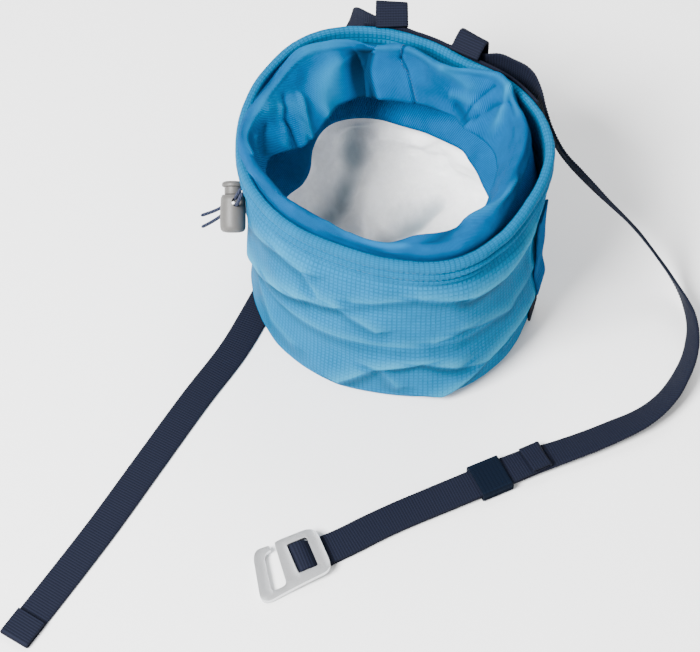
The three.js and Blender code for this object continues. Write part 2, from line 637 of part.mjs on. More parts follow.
// Hook outline in plan: u runs away from the belt in shares of HOOK_LENGTH, v across it in
// shares of HOOK_WIDTH; round is the corner's size in shares of HOOK_WIDTH
const HOOK_OUTLINE = [
  { u: -0.151, v: -0.376, round: 0.2 },
  { u: 0.389, v: -0.386, round: 0.16 },
  { u: 0.4, v: -0.33, round: 0.03 },
  { u: 0.452, v: 0.362, round: 0.08 },
  { u: 0.658, v: 0.372, round: 0.08 },
  { u: 0.575, v: -0.245, round: 0.09 },
  { u: 0.466, v: -0.285, round: 0.02 },
  { u: 0.471, v: -0.36, round: 0.03 },
  { u: 0.69, v: -0.38, round: 0.2 },
  { u: 0.84, v: 0.515, round: 0.2 },
  { u: 0.329, v: 0.44, round: 0.5 },
  { u: -0.151, v: 0.4, round: 0.17 },
];

// Section of the cord lock's barrel: radii as shares of LOCK_RADIUS, heights of LOCK_BARREL
const BARREL = [
  { radius: 0, height: 0 },
  { radius: 0.55, height: 0 },
  { radius: 0.86, height: 0.05 },
  { radius: 1, height: 0.17 },
  { radius: 0.96, height: 0.7 },
  { radius: 0.86, height: 0.97 },
  { radius: 0.8, height: 1 },
  { radius: 0, height: 1 },
];

// Drawcord routes, from under the hem through the lock to the free tips
const CORD_UPPER = [
  { x: -70.9, y: -17.2, z: 94.2 },
  { x: -72.4, y: -17.6, z: 91.2 },
  { x: -73.7, y: -16.6, z: 87.2 },
  { x: -74.0, y: -14.0, z: 83.1 },
  { x: -75.0, y: -12.0, z: 79.9 },
  { x: -75.9, y: -10.4, z: 77.3 },
  { x: -77.0, y: -8.8, z: 74.7 },
  { x: -78.4, y: -7.4, z: 71.9 },
  { x: -80.4, y: -6.8, z: 68.9 },
  { x: -83.4, y: -7.4, z: 66.7 },
  { x: -87.4, y: -8.6, z: 65.5 },
  { x: -91.9, y: -10.0, z: 64.8 },
];
const CORD_LOWER = [
  { x: -70.2, y: -20.0, z: 94.2 },
  { x: -71.7, y: -20.6, z: 90.8 },
  { x: -73.0, y: -19.8, z: 86.2 },
  { x: -73.5, y: -17.0, z: 81.7 },
  { x: -74.6, y: -14.6, z: 78.3 },
  { x: -75.7, y: -12.7, z: 75.5 },
  { x: -77.0, y: -11.0, z: 72.9 },
  { x: -78.6, y: -10.0, z: 69.9 },
  { x: -80.6, y: -10.2, z: 66.9 },
  { x: -83.8, y: -11.4, z: 64.7 },
  { x: -87.4, y: -13.2, z: 63.4 },
  { x: -91.5, y: -15.2, z: 62.5 },
];
const LOCK_AT = new THREE.Vector3(-75.9, -11.6, 76.5);
const LOCK_AXIS = new THREE.Vector3(0, 0.82, 0.57).normalize();
const LOCK_HOLE_DIRECTION = new THREE.Vector3(-0.35, 0.54, -0.77).normalize();

const vectors = (rows) => rows.map((row) => new THREE.Vector3(row.x, row.y, row.z));

// The belt's groove under the base: a straight box a clearance wider than the webbing
function beltGroove() {
  const low = BELT_LEFT.find((row) => row.z < 1);
  const high = BELT_LEFT.find((row) => row.x < -RIM_RADIUS);
  const run = new THREE.Vector3(high.x - low.x, high.y - low.y, 0);
  const depth = WEBBING_THICKNESS + CLEARANCE * 2;
  const length = run.length() + 2 * GROOVE_OVERRUN;
  const box = new THREE.BoxGeometry(length, WEBBING_WIDTH + 4 * CLEARANCE, depth * 2);
  box.rotateZ(Math.atan2(run.y, run.x));
  box.translate((low.x + high.x) / 2, (low.y + high.y) / 2, 0);
  return box;
}

function buildBag() {
  place('shell', fromSolid(solid(vessel(shellSection)).subtract(solid(beltGroove()))), 'ripstop');
  place('rim_hem', ring(hemSection), 'ripstop');
  place('collar', ring((degrees) => thicken(collarLine(degrees), COLLAR_THICKNESS)), 'twill');
  place('fleece_lining', vessel(liningSection, LINING_AROUND), 'fleece');
}

// A band that follows the wall: out is its distance from the rim's face to its middle
function wallBand({ from, to, out, height, steps }) {
  return Array.from({ length: steps + 1 }, (_, k) => {
    const degrees = from + ((to - from) * k) / steps;
    const at = polar(degrees, rimRadius(degrees) + out, height);
    return { at, across: new THREE.Vector3(0, 0, 1) };
  });
}

const tapeOut = CLEARANCE + TAPE_THICKNESS / 2;
const tapeHeight = RIM_HEIGHT + TAPE_LIFT - WEBBING_WIDTH / 2;

// A belt loop: from the rim's top over the belt and back to the wall, turned a little off square
function loopStations(degrees, reach) {
  const rim = rimRadius(degrees);
  const over = RIM_HEIGHT + TAPE_LIFT + 2 * CLEARANCE + WEBBING_THICKNESS / 2;
  const seat = CLEARANCE + WEBBING_THICKNESS / 2;
  const line = [
    { out: -1.4, height: over },
    { out: 0.6, height: over + 0.6 },
    { out: reach * 0.35, height: over + 2.6 },
    { out: reach * 0.72, height: over + 4.0 },
    { out: reach * 0.95, height: over + 2.6 },
    { out: reach, height: over - 1.5 },
    { out: reach * 0.98, height: over - 9 },
    { out: reach * 0.86, height: over - 16 },
    { out: reach * 0.55, height: over - 21.5 },
    { out: seat + 1.1, height: over - 26 },
  ];
  const curve = new THREE.CatmullRomCurve3(line.map(({ out, height }) => {
    const wall = height < hemBottom ? wallRadius(degrees, height) + seat + 4 * CLEARANCE : 0;
    return polar(degrees, Math.max(rim + out, wall), height);
  }));
  const across = polar(degrees + 90 - LOOP_YAW, 1, 0);
  return curve.getPoints(STEPS.loop).map((at) => ({ at, across }));
}

function buildBackWebbing() {
  const tape = { from: TAPE_START, to: TAPE_END, out: tapeOut, height: tapeHeight, steps: STEPS.tape };
  place('back_tape', ribbon(wallBand(tape), WEBBING_WIDTH, TAPE_THICKNESS), 'webbing');
  const left = loopStations(LEFT_LOOP_ANGLE, LEFT_LOOP_REACH);
  const right = loopStations(RIGHT_LOOP_ANGLE, RIGHT_LOOP_REACH);
  place('belt_loop_left', ribbon(left, LOOP_WIDTH, WEBBING_THICKNESS), 'webbing');
  place('belt_loop_right', ribbon(right, LOOP_WIDTH, WEBBING_THICKNESS), 'webbing');
  place('belt_back', ribbon(beltBackStations(), WEBBING_WIDTH, WEBBING_THICKNESS), 'webbing');
}

// The belt between the loops: from the left half's start to the right half's start
function beltBackStations() {
  const close = tapeOut + (TAPE_THICKNESS + WEBBING_THICKNESS) / 2 + CLEARANCE;
  const middle = [82, 77, 72, 67].map((degrees) => (
    polar(degrees, rimRadius(degrees) + close, BELT_LEFT[0].z)
  ));
  const left = vectors(BELT_LEFT.slice(0, 2)).reverse();
  const places = [...left, ...middle, ...vectors(BELT_RIGHT.slice(0, 2))];
  const spans = places.length - 1;
  const trim = 0.07;
  const curve = new THREE.CatmullRomCurve3(places);
  return Array.from({ length: STEPS.beltBack + 1 }, (_, k) => {
    const share = (1 + trim + ((spans - 2 - 2 * trim) * k) / STEPS.beltBack) / spans;
    return { at: curve.getPoint(share), across: new THREE.Vector3(0, 0, 1) };
  });
}

// A band folded back on itself: layers one above the other, joined by a half circle
function foldedBand({ from, tip, length, low, high, across }) {
  const run = new THREE.Vector3(tip.x - from.x, tip.y - from.y, 0).normalize();
  const radius = (high - low) / 2;
  const end = new THREE.Vector3(tip.x, tip.y, low).addScaledVector(run, -radius);
  const turn = Array.from({ length: 7 }, (_, k) => {
    const angle = -Math.PI / 2 + (Math.PI * k) / 6;
    return end.clone().addScaledVector(run, radius * Math.cos(angle))
      .setZ(low + radius + radius * Math.sin(angle));
  });
  const back = end.clone().addScaledVector(run, -length).setZ(high);
  return [...turn, back].map((at) => ({ at, across }));
}

function buildBelt() {
  const webbing = (name, stations) => (
    place(name, ribbon(stations, WEBBING_WIDTH, WEBBING_THICKNESS), 'webbing')
  );
  webbing('belt_left', stationsAlong(BELT_LEFT, STEPS.beltLeft));
  webbing('belt_right', stationsAlong(BELT_RIGHT, STEPS.beltRight));
  const join = BELT_LEFT.at(-1);
  const run = new THREE.Vector3(LEFT_END.x - join.x, LEFT_END.y - join.y, 0).normalize();
  const start = new THREE.Vector3(join.x, join.y, join.z).addScaledVector(run, CLEARANCE);
  const across = facing(join);
  const high = join.z + WEBBING_THICKNESS + 2 * CLEARANCE;
  const fold = foldedBand({ from: start, tip: LEFT_END, length: END_FOLD, low: join.z, high, across });
  webbing('belt_left_end', [{ at: start, across }, ...fold]);
  webbing('belt_tail', tailStations());
}

function tailStations() {
  const low = TAIL_TIP.z;
  const high = low + WEBBING_THICKNESS + 2 * CLEARANCE;
  const fold = foldedBand({
    from: BELT_TAIL.at(-1), tip: TAIL_TIP, length: TAIL_FOLD, low, high, across: facing(TAIL_TIP),
  });
  return [...stationsAlong(BELT_TAIL, STEPS.tail), ...fold];
}

// Keeper: a flat sleeve round both layers of the belt
function buildKeeper() {
  const inside = {
    width: WEBBING_WIDTH + 2 * CLEARANCE,
    height: BELT_TAIL.find((row) => row.x === KEEPER_AT.x).z - KEEPER_AT.z
      + WEBBING_THICKNESS + 2 * CLEARANCE,
  };
  const sleeve = slab(inside.width + 2 * KEEPER_WALL, inside.height + 2 * KEEPER_WALL, KEEPER_ROUND);
  sleeve.holes.push(slab(inside.width, inside.height, KEEPER_ROUND / 4, new THREE.Path()));
  const geometry = new THREE.ExtrudeGeometry(sleeve, {
    depth: KEEPER_LENGTH, curveSegments: 3, bevelEnabled: false,
  });
  geometry.translate(0, 0, -KEEPER_LENGTH / 2);
  const across = polar(KEEPER_AT.turn, 1, 0);
  const up = new THREE.Vector3(0, 0, 1);
  const along = new THREE.Vector3().crossVectors(across, up);
  const bottom = KEEPER_AT.z - WEBBING_THICKNESS / 2 - CLEARANCE;
  geometry.applyMatrix4(new THREE.Matrix4().makeBasis(across, up, along));
  geometry.translate(KEEPER_AT.x, KEEPER_AT.y, bottom + inside.height / 2);
  place('keeper', outward(merged(geometry)), 'keeper');
}

// A rounded rectangle about its own centre
function slab(width, height, round, target = new THREE.Shape()) {
  const corners = [[-1, -1], [1, -1], [1, 1], [-1, 1]];
  return rounded(target, corners.map(([u, v]) => ({ u: (u * width) / 2, v: (v * height) / 2, round })));
}

// Hook: a flat plate with a slot for the belt, a thin bar across the slot and an open hook
function buildHook() {
  const outline = rounded(new THREE.Shape(), HOOK_OUTLINE.map(({ u, v, round }) => (
    { u: u * HOOK_LENGTH, v: v * HOOK_WIDTH, round: round * HOOK_WIDTH }
  )));
  const slotWidth = WEBBING_WIDTH + 2 * CLEARANCE;
  const slot = [[0, -1], [1, -1], [1, 1], [0, 1]].map(([u, v]) => (
    { u: u * HOOK_SLOT, v: (v * slotWidth) / 2, round: HOOK_SLOT_ROUND }
  ));
  outline.holes.push(rounded(new THREE.Path(), slot));
  const plate = new THREE.ExtrudeGeometry(outline, {
    depth: HOOK_THICKNESS, curveSegments: 5, bevelEnabled: false,
  });
  const bar = new THREE.BoxGeometry(HOOK_BAR_WIDTH, slotWidth + 2, HOOK_BAR_THICKNESS);
  bar.translate(HOOK_SLOT / 2, 0, HOOK_BAR_THICKNESS / 2);
  const hook = place('g_hook', fromSolid(solid(plate).add(solid(bar))), 'aluminium');
  const tilt = radians(HOOK_TILT);
  hook.rotation.set(0, tilt, radians(HOOK_HEADING), 'ZYX');
  hook.position.set(HOOK_AT.x, HOOK_AT.y, HOOK_REACH * Math.sin(tilt));
}

// Cord lock: a barrel with a hole across it, its push button, and the two cords through the hole;
// heights along its axis are measured from the hole
function buildDrawcord() {
  const foot = LOCK_HOLE_DROP - LOCK_BARREL;
  const barrel = turned(BARREL.map(({ radius, height }) => (
    { radius: radius * LOCK_RADIUS, height: foot + height * LOCK_BARREL }
  )));
  const bore = new THREE.CylinderGeometry(LOCK_HOLE / 2, LOCK_HOLE / 2, LOCK_RADIUS * 4, STEPS.turned);
  pointed(bore, LOCK_HOLE_DIRECTION);
  place('cord_lock_body', fromSolid(solid(barrel).subtract(solid(bore))), 'plastic');
  const seat = LOCK_HOLE_DROP + CLEARANCE;
  place('cord_lock_button', turned([
    { radius: 0, height: seat },
    { radius: BUTTON_RADIUS * 0.84, height: seat },
    { radius: BUTTON_RADIUS * 0.84, height: seat + BUTTON_NECK },
    { radius: BUTTON_RADIUS, height: seat + BUTTON_NECK },
    { radius: BUTTON_RADIUS, height: seat + BUTTON_NECK + BUTTON_CAP * 0.45 },
    { radius: BUTTON_RADIUS * 0.8, height: seat + BUTTON_NECK + BUTTON_CAP * 0.85 },
    { radius: 0, height: seat + BUTTON_NECK + BUTTON_CAP },
  ]), 'plastic');
  place('drawcord_end_upper', tube(vectors(CORD_UPPER), CORD_DIAMETER, STEPS.cord), 'cord');
  place('drawcord_end_lower', tube(vectors(CORD_LOWER), CORD_DIAMETER, STEPS.cord), 'cord');
}

// A shape turned about the lock's own axis
function turned(section) {
  const points = section.map(({ radius, height }) => new THREE.Vector2(radius, height));
  return outward(merged(pointed(new THREE.LatheGeometry(points, STEPS.turned), LOCK_AXIS)));
}

function pointed(geometry, direction) {
  const upright = new THREE.Vector3(0, 1, 0);
  geometry.applyQuaternion(new THREE.Quaternion().setFromUnitVectors(upright, direction));
  return geometry.translate(LOCK_AT.x, LOCK_AT.y, LOCK_AT.z);
}

// Holder on the right side: a band that stands off the wall between its two sewn ends
function sideStations(rows, thickness) {
  const reach = THREE.MathUtils.radToDeg(SIDE_WIDTH / 2 / RIM_RADIUS);
  const beside = [-1, -0.5, 0, 0.5, 1].map((share) => SIDE_ANGLE + share * reach);
  const curve = new THREE.CatmullRomCurve3(rows.map(({ height, out }) => {
    const wall = Math.max(...beside.map((degrees) => wallRadius(degrees, height)));
    return polar(SIDE_ANGLE, wall + CLEARANCE + thickness / 2 + out, height);
  }));
  const across = polar(SIDE_ANGLE + 90, 1, 0);
  return curve.getPoints(STEPS.side).map((at) => ({ at, across }));
}

function buildSideHolder() {
  const span = SIDE_LOOP_TOP - SIDE_LOOP_BOTTOM;
  const loop = [1, 0.93, 0.75, 0.5, 0.25, 0.07, 0].map((share) => ({
    height: SIDE_LOOP_BOTTOM + span * share,
    out: SIDE_LOOP_BULGE * Math.min(1, 6 * share * (1 - share)),
  }));
  const strip = [1, 0.5, 0].map((share) => ({
    height: SIDE_WEBBING_BOTTOM + (SIDE_WEBBING_TOP - SIDE_WEBBING_BOTTOM) * share,
    out: 0,
  }));
  const band = ribbon(sideStations(loop, SIDE_LOOP_THICKNESS), SIDE_WIDTH, SIDE_LOOP_THICKNESS);
  place('side_loop', band, 'twill');
  const webbing = ribbon(sideStations(strip, WEBBING_THICKNESS), SIDE_WIDTH, WEBBING_THICKNESS);
  place('side_webbing', webbing, 'webbing');
}

buildBag();
buildBackWebbing();
buildBelt();
buildKeeper();
buildHook();
buildDrawcord();
buildSideHolder();

export default bag;
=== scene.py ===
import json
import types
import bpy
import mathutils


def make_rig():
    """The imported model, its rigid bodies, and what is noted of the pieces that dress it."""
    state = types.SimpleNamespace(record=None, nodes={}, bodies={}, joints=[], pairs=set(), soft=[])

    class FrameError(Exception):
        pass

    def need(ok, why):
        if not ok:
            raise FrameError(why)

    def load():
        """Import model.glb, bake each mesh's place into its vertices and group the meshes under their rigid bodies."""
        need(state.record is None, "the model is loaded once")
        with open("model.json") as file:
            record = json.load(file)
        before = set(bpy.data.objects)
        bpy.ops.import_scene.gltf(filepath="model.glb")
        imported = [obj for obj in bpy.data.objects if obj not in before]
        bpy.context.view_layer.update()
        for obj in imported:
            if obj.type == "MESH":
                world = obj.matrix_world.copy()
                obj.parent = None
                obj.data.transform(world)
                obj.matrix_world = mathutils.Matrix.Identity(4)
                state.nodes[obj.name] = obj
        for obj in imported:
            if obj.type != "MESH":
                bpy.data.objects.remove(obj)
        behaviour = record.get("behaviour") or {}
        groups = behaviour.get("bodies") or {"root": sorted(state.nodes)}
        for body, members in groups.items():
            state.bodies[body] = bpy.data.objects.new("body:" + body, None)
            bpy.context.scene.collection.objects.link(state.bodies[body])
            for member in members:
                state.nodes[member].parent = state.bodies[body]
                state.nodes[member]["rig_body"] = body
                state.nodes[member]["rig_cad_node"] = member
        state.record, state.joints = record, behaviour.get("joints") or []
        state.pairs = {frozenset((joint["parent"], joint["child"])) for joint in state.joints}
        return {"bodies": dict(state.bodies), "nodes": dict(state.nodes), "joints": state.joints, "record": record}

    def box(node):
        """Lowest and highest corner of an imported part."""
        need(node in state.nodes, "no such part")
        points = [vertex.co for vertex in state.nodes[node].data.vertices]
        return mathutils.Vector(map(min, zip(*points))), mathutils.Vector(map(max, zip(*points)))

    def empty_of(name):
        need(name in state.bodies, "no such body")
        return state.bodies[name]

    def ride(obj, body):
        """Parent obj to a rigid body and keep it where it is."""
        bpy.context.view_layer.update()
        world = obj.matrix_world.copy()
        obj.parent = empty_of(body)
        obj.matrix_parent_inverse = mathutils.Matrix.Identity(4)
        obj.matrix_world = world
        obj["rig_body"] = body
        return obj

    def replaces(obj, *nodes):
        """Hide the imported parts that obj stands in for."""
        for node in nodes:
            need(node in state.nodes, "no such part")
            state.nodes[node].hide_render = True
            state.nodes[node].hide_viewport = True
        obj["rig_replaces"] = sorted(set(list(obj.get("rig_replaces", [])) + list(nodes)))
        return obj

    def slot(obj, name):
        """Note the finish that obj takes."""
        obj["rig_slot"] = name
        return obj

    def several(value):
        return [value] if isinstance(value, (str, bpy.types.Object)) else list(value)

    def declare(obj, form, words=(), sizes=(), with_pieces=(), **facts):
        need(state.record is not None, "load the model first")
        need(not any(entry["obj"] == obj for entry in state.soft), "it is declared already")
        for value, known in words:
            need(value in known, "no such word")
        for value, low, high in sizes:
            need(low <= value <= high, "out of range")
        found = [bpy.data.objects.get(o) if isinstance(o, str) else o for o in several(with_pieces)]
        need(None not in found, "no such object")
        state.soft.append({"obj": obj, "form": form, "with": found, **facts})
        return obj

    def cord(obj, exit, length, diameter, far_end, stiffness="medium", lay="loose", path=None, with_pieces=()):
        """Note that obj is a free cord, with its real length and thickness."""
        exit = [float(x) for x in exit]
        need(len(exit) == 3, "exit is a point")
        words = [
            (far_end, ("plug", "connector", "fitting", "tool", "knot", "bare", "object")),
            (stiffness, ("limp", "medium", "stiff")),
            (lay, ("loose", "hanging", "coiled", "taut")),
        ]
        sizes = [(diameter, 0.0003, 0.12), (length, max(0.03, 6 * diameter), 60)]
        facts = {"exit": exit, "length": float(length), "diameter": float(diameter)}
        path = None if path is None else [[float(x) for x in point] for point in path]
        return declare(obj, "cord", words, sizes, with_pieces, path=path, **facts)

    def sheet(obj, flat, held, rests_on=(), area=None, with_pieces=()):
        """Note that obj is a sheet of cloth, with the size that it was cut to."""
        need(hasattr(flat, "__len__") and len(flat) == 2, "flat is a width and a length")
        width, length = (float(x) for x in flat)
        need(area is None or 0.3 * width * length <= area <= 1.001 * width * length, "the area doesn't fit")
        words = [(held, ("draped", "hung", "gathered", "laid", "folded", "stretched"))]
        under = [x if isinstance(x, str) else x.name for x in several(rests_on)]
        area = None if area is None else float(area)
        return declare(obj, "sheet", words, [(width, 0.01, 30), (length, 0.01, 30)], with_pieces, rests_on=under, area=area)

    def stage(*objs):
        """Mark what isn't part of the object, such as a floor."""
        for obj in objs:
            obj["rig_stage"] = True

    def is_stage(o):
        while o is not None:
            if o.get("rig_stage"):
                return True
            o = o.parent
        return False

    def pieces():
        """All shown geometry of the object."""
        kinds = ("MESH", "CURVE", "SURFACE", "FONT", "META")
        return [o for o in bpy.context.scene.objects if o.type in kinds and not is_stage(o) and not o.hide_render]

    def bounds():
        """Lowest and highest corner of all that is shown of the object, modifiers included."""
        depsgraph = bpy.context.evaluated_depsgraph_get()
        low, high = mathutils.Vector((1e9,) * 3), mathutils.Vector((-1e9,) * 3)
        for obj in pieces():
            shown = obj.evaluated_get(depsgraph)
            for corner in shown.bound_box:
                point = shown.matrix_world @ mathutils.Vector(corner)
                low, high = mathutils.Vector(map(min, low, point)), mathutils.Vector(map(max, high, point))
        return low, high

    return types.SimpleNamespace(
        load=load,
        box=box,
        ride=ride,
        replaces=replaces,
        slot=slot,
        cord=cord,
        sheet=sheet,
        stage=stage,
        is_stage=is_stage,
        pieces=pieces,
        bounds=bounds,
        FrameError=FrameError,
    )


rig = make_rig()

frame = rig.load()

import json
from bisect import bisect_right
from collections import namedtuple
from functools import lru_cache
from math import ceil, cos, exp, pi, radians, sin, sqrt, tau

import bmesh
import bpy
from mathutils import Matrix, Vector, noise

bl_info = {
    "name": "Climbing Chalk Bag",
    "version": (1, 0, 0),
    "blender": (4, 5, 0),
    "location": "View3D > Sidebar > Chalk Bag",
    "description": "Dresses the chalk bag with cloth, webbing, cord, hook and lock",
    "category": "Object",
}

# The bag stands at the origin, +Z up and +Y from its front to its back; all lengths are metres
CAD_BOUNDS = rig.bounds()
RIM_RADIUS = 0.0725
BASE_RADIUS = 0.072
WAIST_DEPTH = 0.0032
CLEARANCE = 0.0003
AROUND = 480

# Plan of the wall: shares of RIM_RADIUS, BASE_RADIUS and WAIST_DEPTH at each angle
Plan = namedtuple("Plan", "angle rim base waist")
PLAN = [
    Plan(0, 0.999, 0.983, 0.4),
    Plan(30, 0.928, 0.965, 0.3),
    Plan(55, 0.861, 0.945, 0.1),
    Plan(75, 0.91, 0.955, 0.1),
    Plan(95, 1.0, 0.98, 0.4),
    Plan(120, 1.088, 1.02, 0.8),
    Plan(145, 1.048, 1.015, 0.9),
    Plan(170, 1.014, 1.003, 1.0),
    Plan(200, 1.0, 0.988, 0.9),
    Plan(220, 0.975, 0.98, 0.4),
    Plan(245, 0.946, 0.986, 0.2),
    Plan(265, 0.977, 0.995, 0.3),
    Plan(290, 1.043, 1.052, 0.6),
    Plan(310, 1.015, 1.043, 0.7),
    Plan(330, 0.985, 1.02, 0.6),
]

# Folds of the shell: a ridge between two places, at angles and shares of the rim's height, with
# its rise as a share of FOLD_RISE and how far it fades above and below as shares of FOLD_REACH
FOLD_RISE = 0.0038
FOLD_REACH = 0.012
Fold = namedtuple("Fold", "angle height to_angle to_height rise above below")
SHELL_FOLDS = [
    Fold(198, 0.66, 206, 0.73, 0.5, 1.0, 0.4),
    Fold(206, 0.73, 222, 0.79, 0.7, 1.1, 0.4),
    Fold(222, 0.79, 233, 0.77, 0.7, 1.1, 0.4),
    Fold(233, 0.77, 240, 0.64, 0.6, 0.8, 0.35),
    Fold(192, 0.38, 216, 0.51, 1.0, 1.3, 0.5),
    Fold(216, 0.51, 231, 0.58, 1.0, 1.3, 0.45),
    Fold(231, 0.58, 247, 0.63, 0.9, 1.2, 0.4),
    Fold(247, 0.63, 263, 0.52, 0.6, 1.0, 0.35),
    Fold(254, 0.69, 279, 0.78, 0.5, 0.8, 0.35),
    Fold(279, 0.78, 297, 0.74, 0.7, 1.0, 0.4),
    Fold(297, 0.74, 311, 0.73, 1.1, 1.1, 0.5),
    Fold(311, 0.73, 330, 0.8, 1.1, 0.9, 0.5),
    Fold(284, 0.45, 296, 0.51, 0.6, 0.9, 0.35),
    Fold(296, 0.51, 318, 0.42, 0.7, 0.9, 0.4),
    Fold(248, 0.08, 263, 0.26, 0.8, 1.1, 0.4),
    Fold(263, 0.26, 280, 0.33, 1.0, 1.2, 0.35),
    Fold(280, 0.33, 293, 0.26, 1.0, 1.1, 0.4),
    Fold(293, 0.26, 304, 0.19, 0.9, 0.8, 0.4),
    Fold(264, 0.27, 271, 0.12, 0.5, 0.6, 0.4),
    Fold(336, 0.25, 322, 0.235, 1.1, 1.0, 0.35),
    Fold(322, 0.235, 306, 0.19, 1.1, 1.0, 0.35),
    Fold(306, 0.19, 287, 0.05, 1.0, 1.0, 0.35),
    Fold(318, 0.14, 335, 0.22, 0.5, 0.4, 0.3),
    Fold(334, 0.8, 335, 0.25, 0.35, 0.3, 0.3),
    Fold(204, 0.32, 213, 0.18, 0.4, 0.8, 0.6),
    Fold(213, 0.18, 226, 0.17, 0.4, 0.8, 0.5),
    Fold(120, 0.55, 158, 0.42, 0.7, 1.1, 0.5),
    Fold(150, 0.7, 182, 0.62, 0.6, 1.0, 0.4),
    Fold(40, 0.3, 85, 0.45, 0.7, 1.2, 0.5),
    Fold(20, 0.6, 50, 0.5, 0.5, 1.0, 0.4),
    Fold(358, 0.45, 20, 0.35, 0.5, 1.0, 0.4),
    Fold(95, 0.2, 140, 0.26, 0.6, 1.0, 0.4),
]

# Folded collar: insets as shares of RIM_RADIUS, rise of COLLAR_RISE and drop of FLAP_DEPTH
COLLAR_RISE = 0.007
FLAP_DEPTH = 0.02
COLLAR_SEAM_HEIGHT = 0.054
COLLAR_JOIN_HEIGHT = 0.074
Turn = namedtuple("Turn", "angle lip rise turn flap drop")
COLLAR = [
    Turn(0, 0.165, 0.7, 0.221, 0.338, 0.9),
    Turn(18, 0.138, 0.7, 0.193, 0.331, 0.9),
    Turn(34, 0.055, 0.64, 0.124, 0.379, 0.8),
    Turn(46, 0.11, 0.57, 0.166, 0.317, 0.85),
    Turn(64, 0.2, 0.57, 0.248, 0.317, 0.9),
    Turn(82, 0.172, 0.57, 0.228, 0.393, 0.9),
    Turn(98, 0.214, 0.5, 0.276, 0.441, 0.9),
    Turn(118, 0.179, 0.5, 0.248, 0.455, 0.9),
    Turn(132, 0.11, 0.5, 0.193, 0.455, 0.9),
    Turn(150, 0.11, 0.5, 0.179, 0.469, 0.9),
    Turn(167, 0.048, 0.57, 0.138, 0.4, 0.85),
    Turn(182, 0.012, 0.64, 0.076, 0.193, 0.6),
    Turn(196, 0.035, 0.75, 0.1, 0.166, 0.7),
    Turn(212, 0.072, 0.9, 0.124, 0.179, 0.9),
    Turn(232, 0.072, 0.85, 0.115, 0.166, 0.9),
    Turn(250, 0.072, 0.35, 0.115, 0.145, 1.0),
    Turn(266, 0.072, 0.45, 0.12, 0.152, 1.0),
    Turn(278, 0.072, 0.9, 0.19, 0.248, 1.0),
    Turn(294, 0.075, 0.95, 0.214, 0.276, 1.0),
    Turn(307, 0.083, 0.9, 0.207, 0.276, 0.9),
    Turn(322, 0.131, 0.8, 0.207, 0.303, 0.9),
    Turn(340, 0.172, 0.72, 0.228, 0.331, 0.9),
]

# Seam between the collar and the fleece: its inset at each angle
Seam = namedtuple("Seam", "angle inset")
SEAM = [
    Seam(0, 0.0235), Seam(19, 0.022), Seam(30, 0.0185), Seam(40, 0.0145), Seam(50, 0.0095),
    Seam(70, 0.0105), Seam(86, 0.0125), Seam(100, 0.0115), Seam(118, 0.0135), Seam(134, 0.0205),
    Seam(146, 0.0265), Seam(158, 0.0265), Seam(168, 0.021), Seam(185, 0.0145), Seam(220, 0.011),
    Seam(300, 0.011), Seam(335, 0.018),
]

# Belt routes: place, then turn and tip of the direction across, in degrees
Place = namedtuple("Place", "x y z turn tip")
BELT_RIGHT = [
    Place(0.0354, 0.0558, 0.1005, -121, 88),
    Place(0.0434, 0.0533, 0.1016, -121, 86),
    Place(0.0504, 0.0526, 0.1022, -121, 88),
    Place(0.0568, 0.0492, 0.102, -58, 84),
    Place(0.0632, 0.0432, 0.102, -29, 78),
    Place(0.0675, 0.0365, 0.0996, -65, 68),
    Place(0.0707, 0.0288, 0.0955, -86, 58),
    Place(0.0741, 0.0217, 0.09, -86, 48),
    Place(0.0795, 0.0152, 0.0825, -79, 42),
    Place(0.0869, 0.0107, 0.075, -71, 40),
    Place(0.0941, 0.0073, 0.068, -69, 37),
    Place(0.101, 0.0046, 0.061, -70, 33),
    Place(0.1093, 0.0023, 0.0525, -70, 28),
    Place(0.1169, 0.0007, 0.044, -71, 24),
    Place(0.1234, -0.0008, 0.0355, -74, 23),
    Place(0.1289, -0.0027, 0.0282, -78, 26),
    Place(0.1342, -0.0055, 0.0216, -83, 33),
    Place(0.1391, -0.0095, 0.016, -92, 44),
    Place(0.1432, -0.0149, 0.012, -103, 58),
    Place(0.1462, -0.022, 0.0094, -111, 75),
    Place(0.1479, -0.031, 0.0082, -46, 84),
    Place(0.1474, -0.0403, 0.0078, -16, 74),
    Place(0.1455, -0.0496, 0.0074, -22, 64),
    Place(0.1421, -0.0583, 0.0069, -32, 55),
    Place(0.1379, -0.0659, 0.0062, -40, 49),
    Place(0.1326, -0.0736, 0.0055, -46, 41),
    Place(0.1256, -0.0806, 0.0047, -54, 33),
    Place(0.1169, -0.0866, 0.0039, -61, 25),
    Place(0.1065, -0.0916, 0.0032, -65, 19),
    Place(0.0937, -0.0974, 0.0028, -67, 16),
    Place(0.08, -0.1029, 0.0025, -67, 13),
    Place(0.066, -0.1082, 0.0022, -66, 7),
    Place(0.0546, -0.1132, 0.0023, -65, 2),
    Place(0.0447, -0.118, 0.0023, -65, 0),
    Place(0.0346, -0.1225, 0.0021, -66, 0),
    Place(0.022, -0.128, 0.0013, -65, 0),
    Place(0.008, -0.1342, 0.0009, -64, 0),
    Place(-0.006, -0.141, 0.0008, -61, 0),
    Place(-0.019, -0.1484, 0.0008, -60, 0),
    Place(-0.031, -0.1549, 0.0008, -62, 0),
]
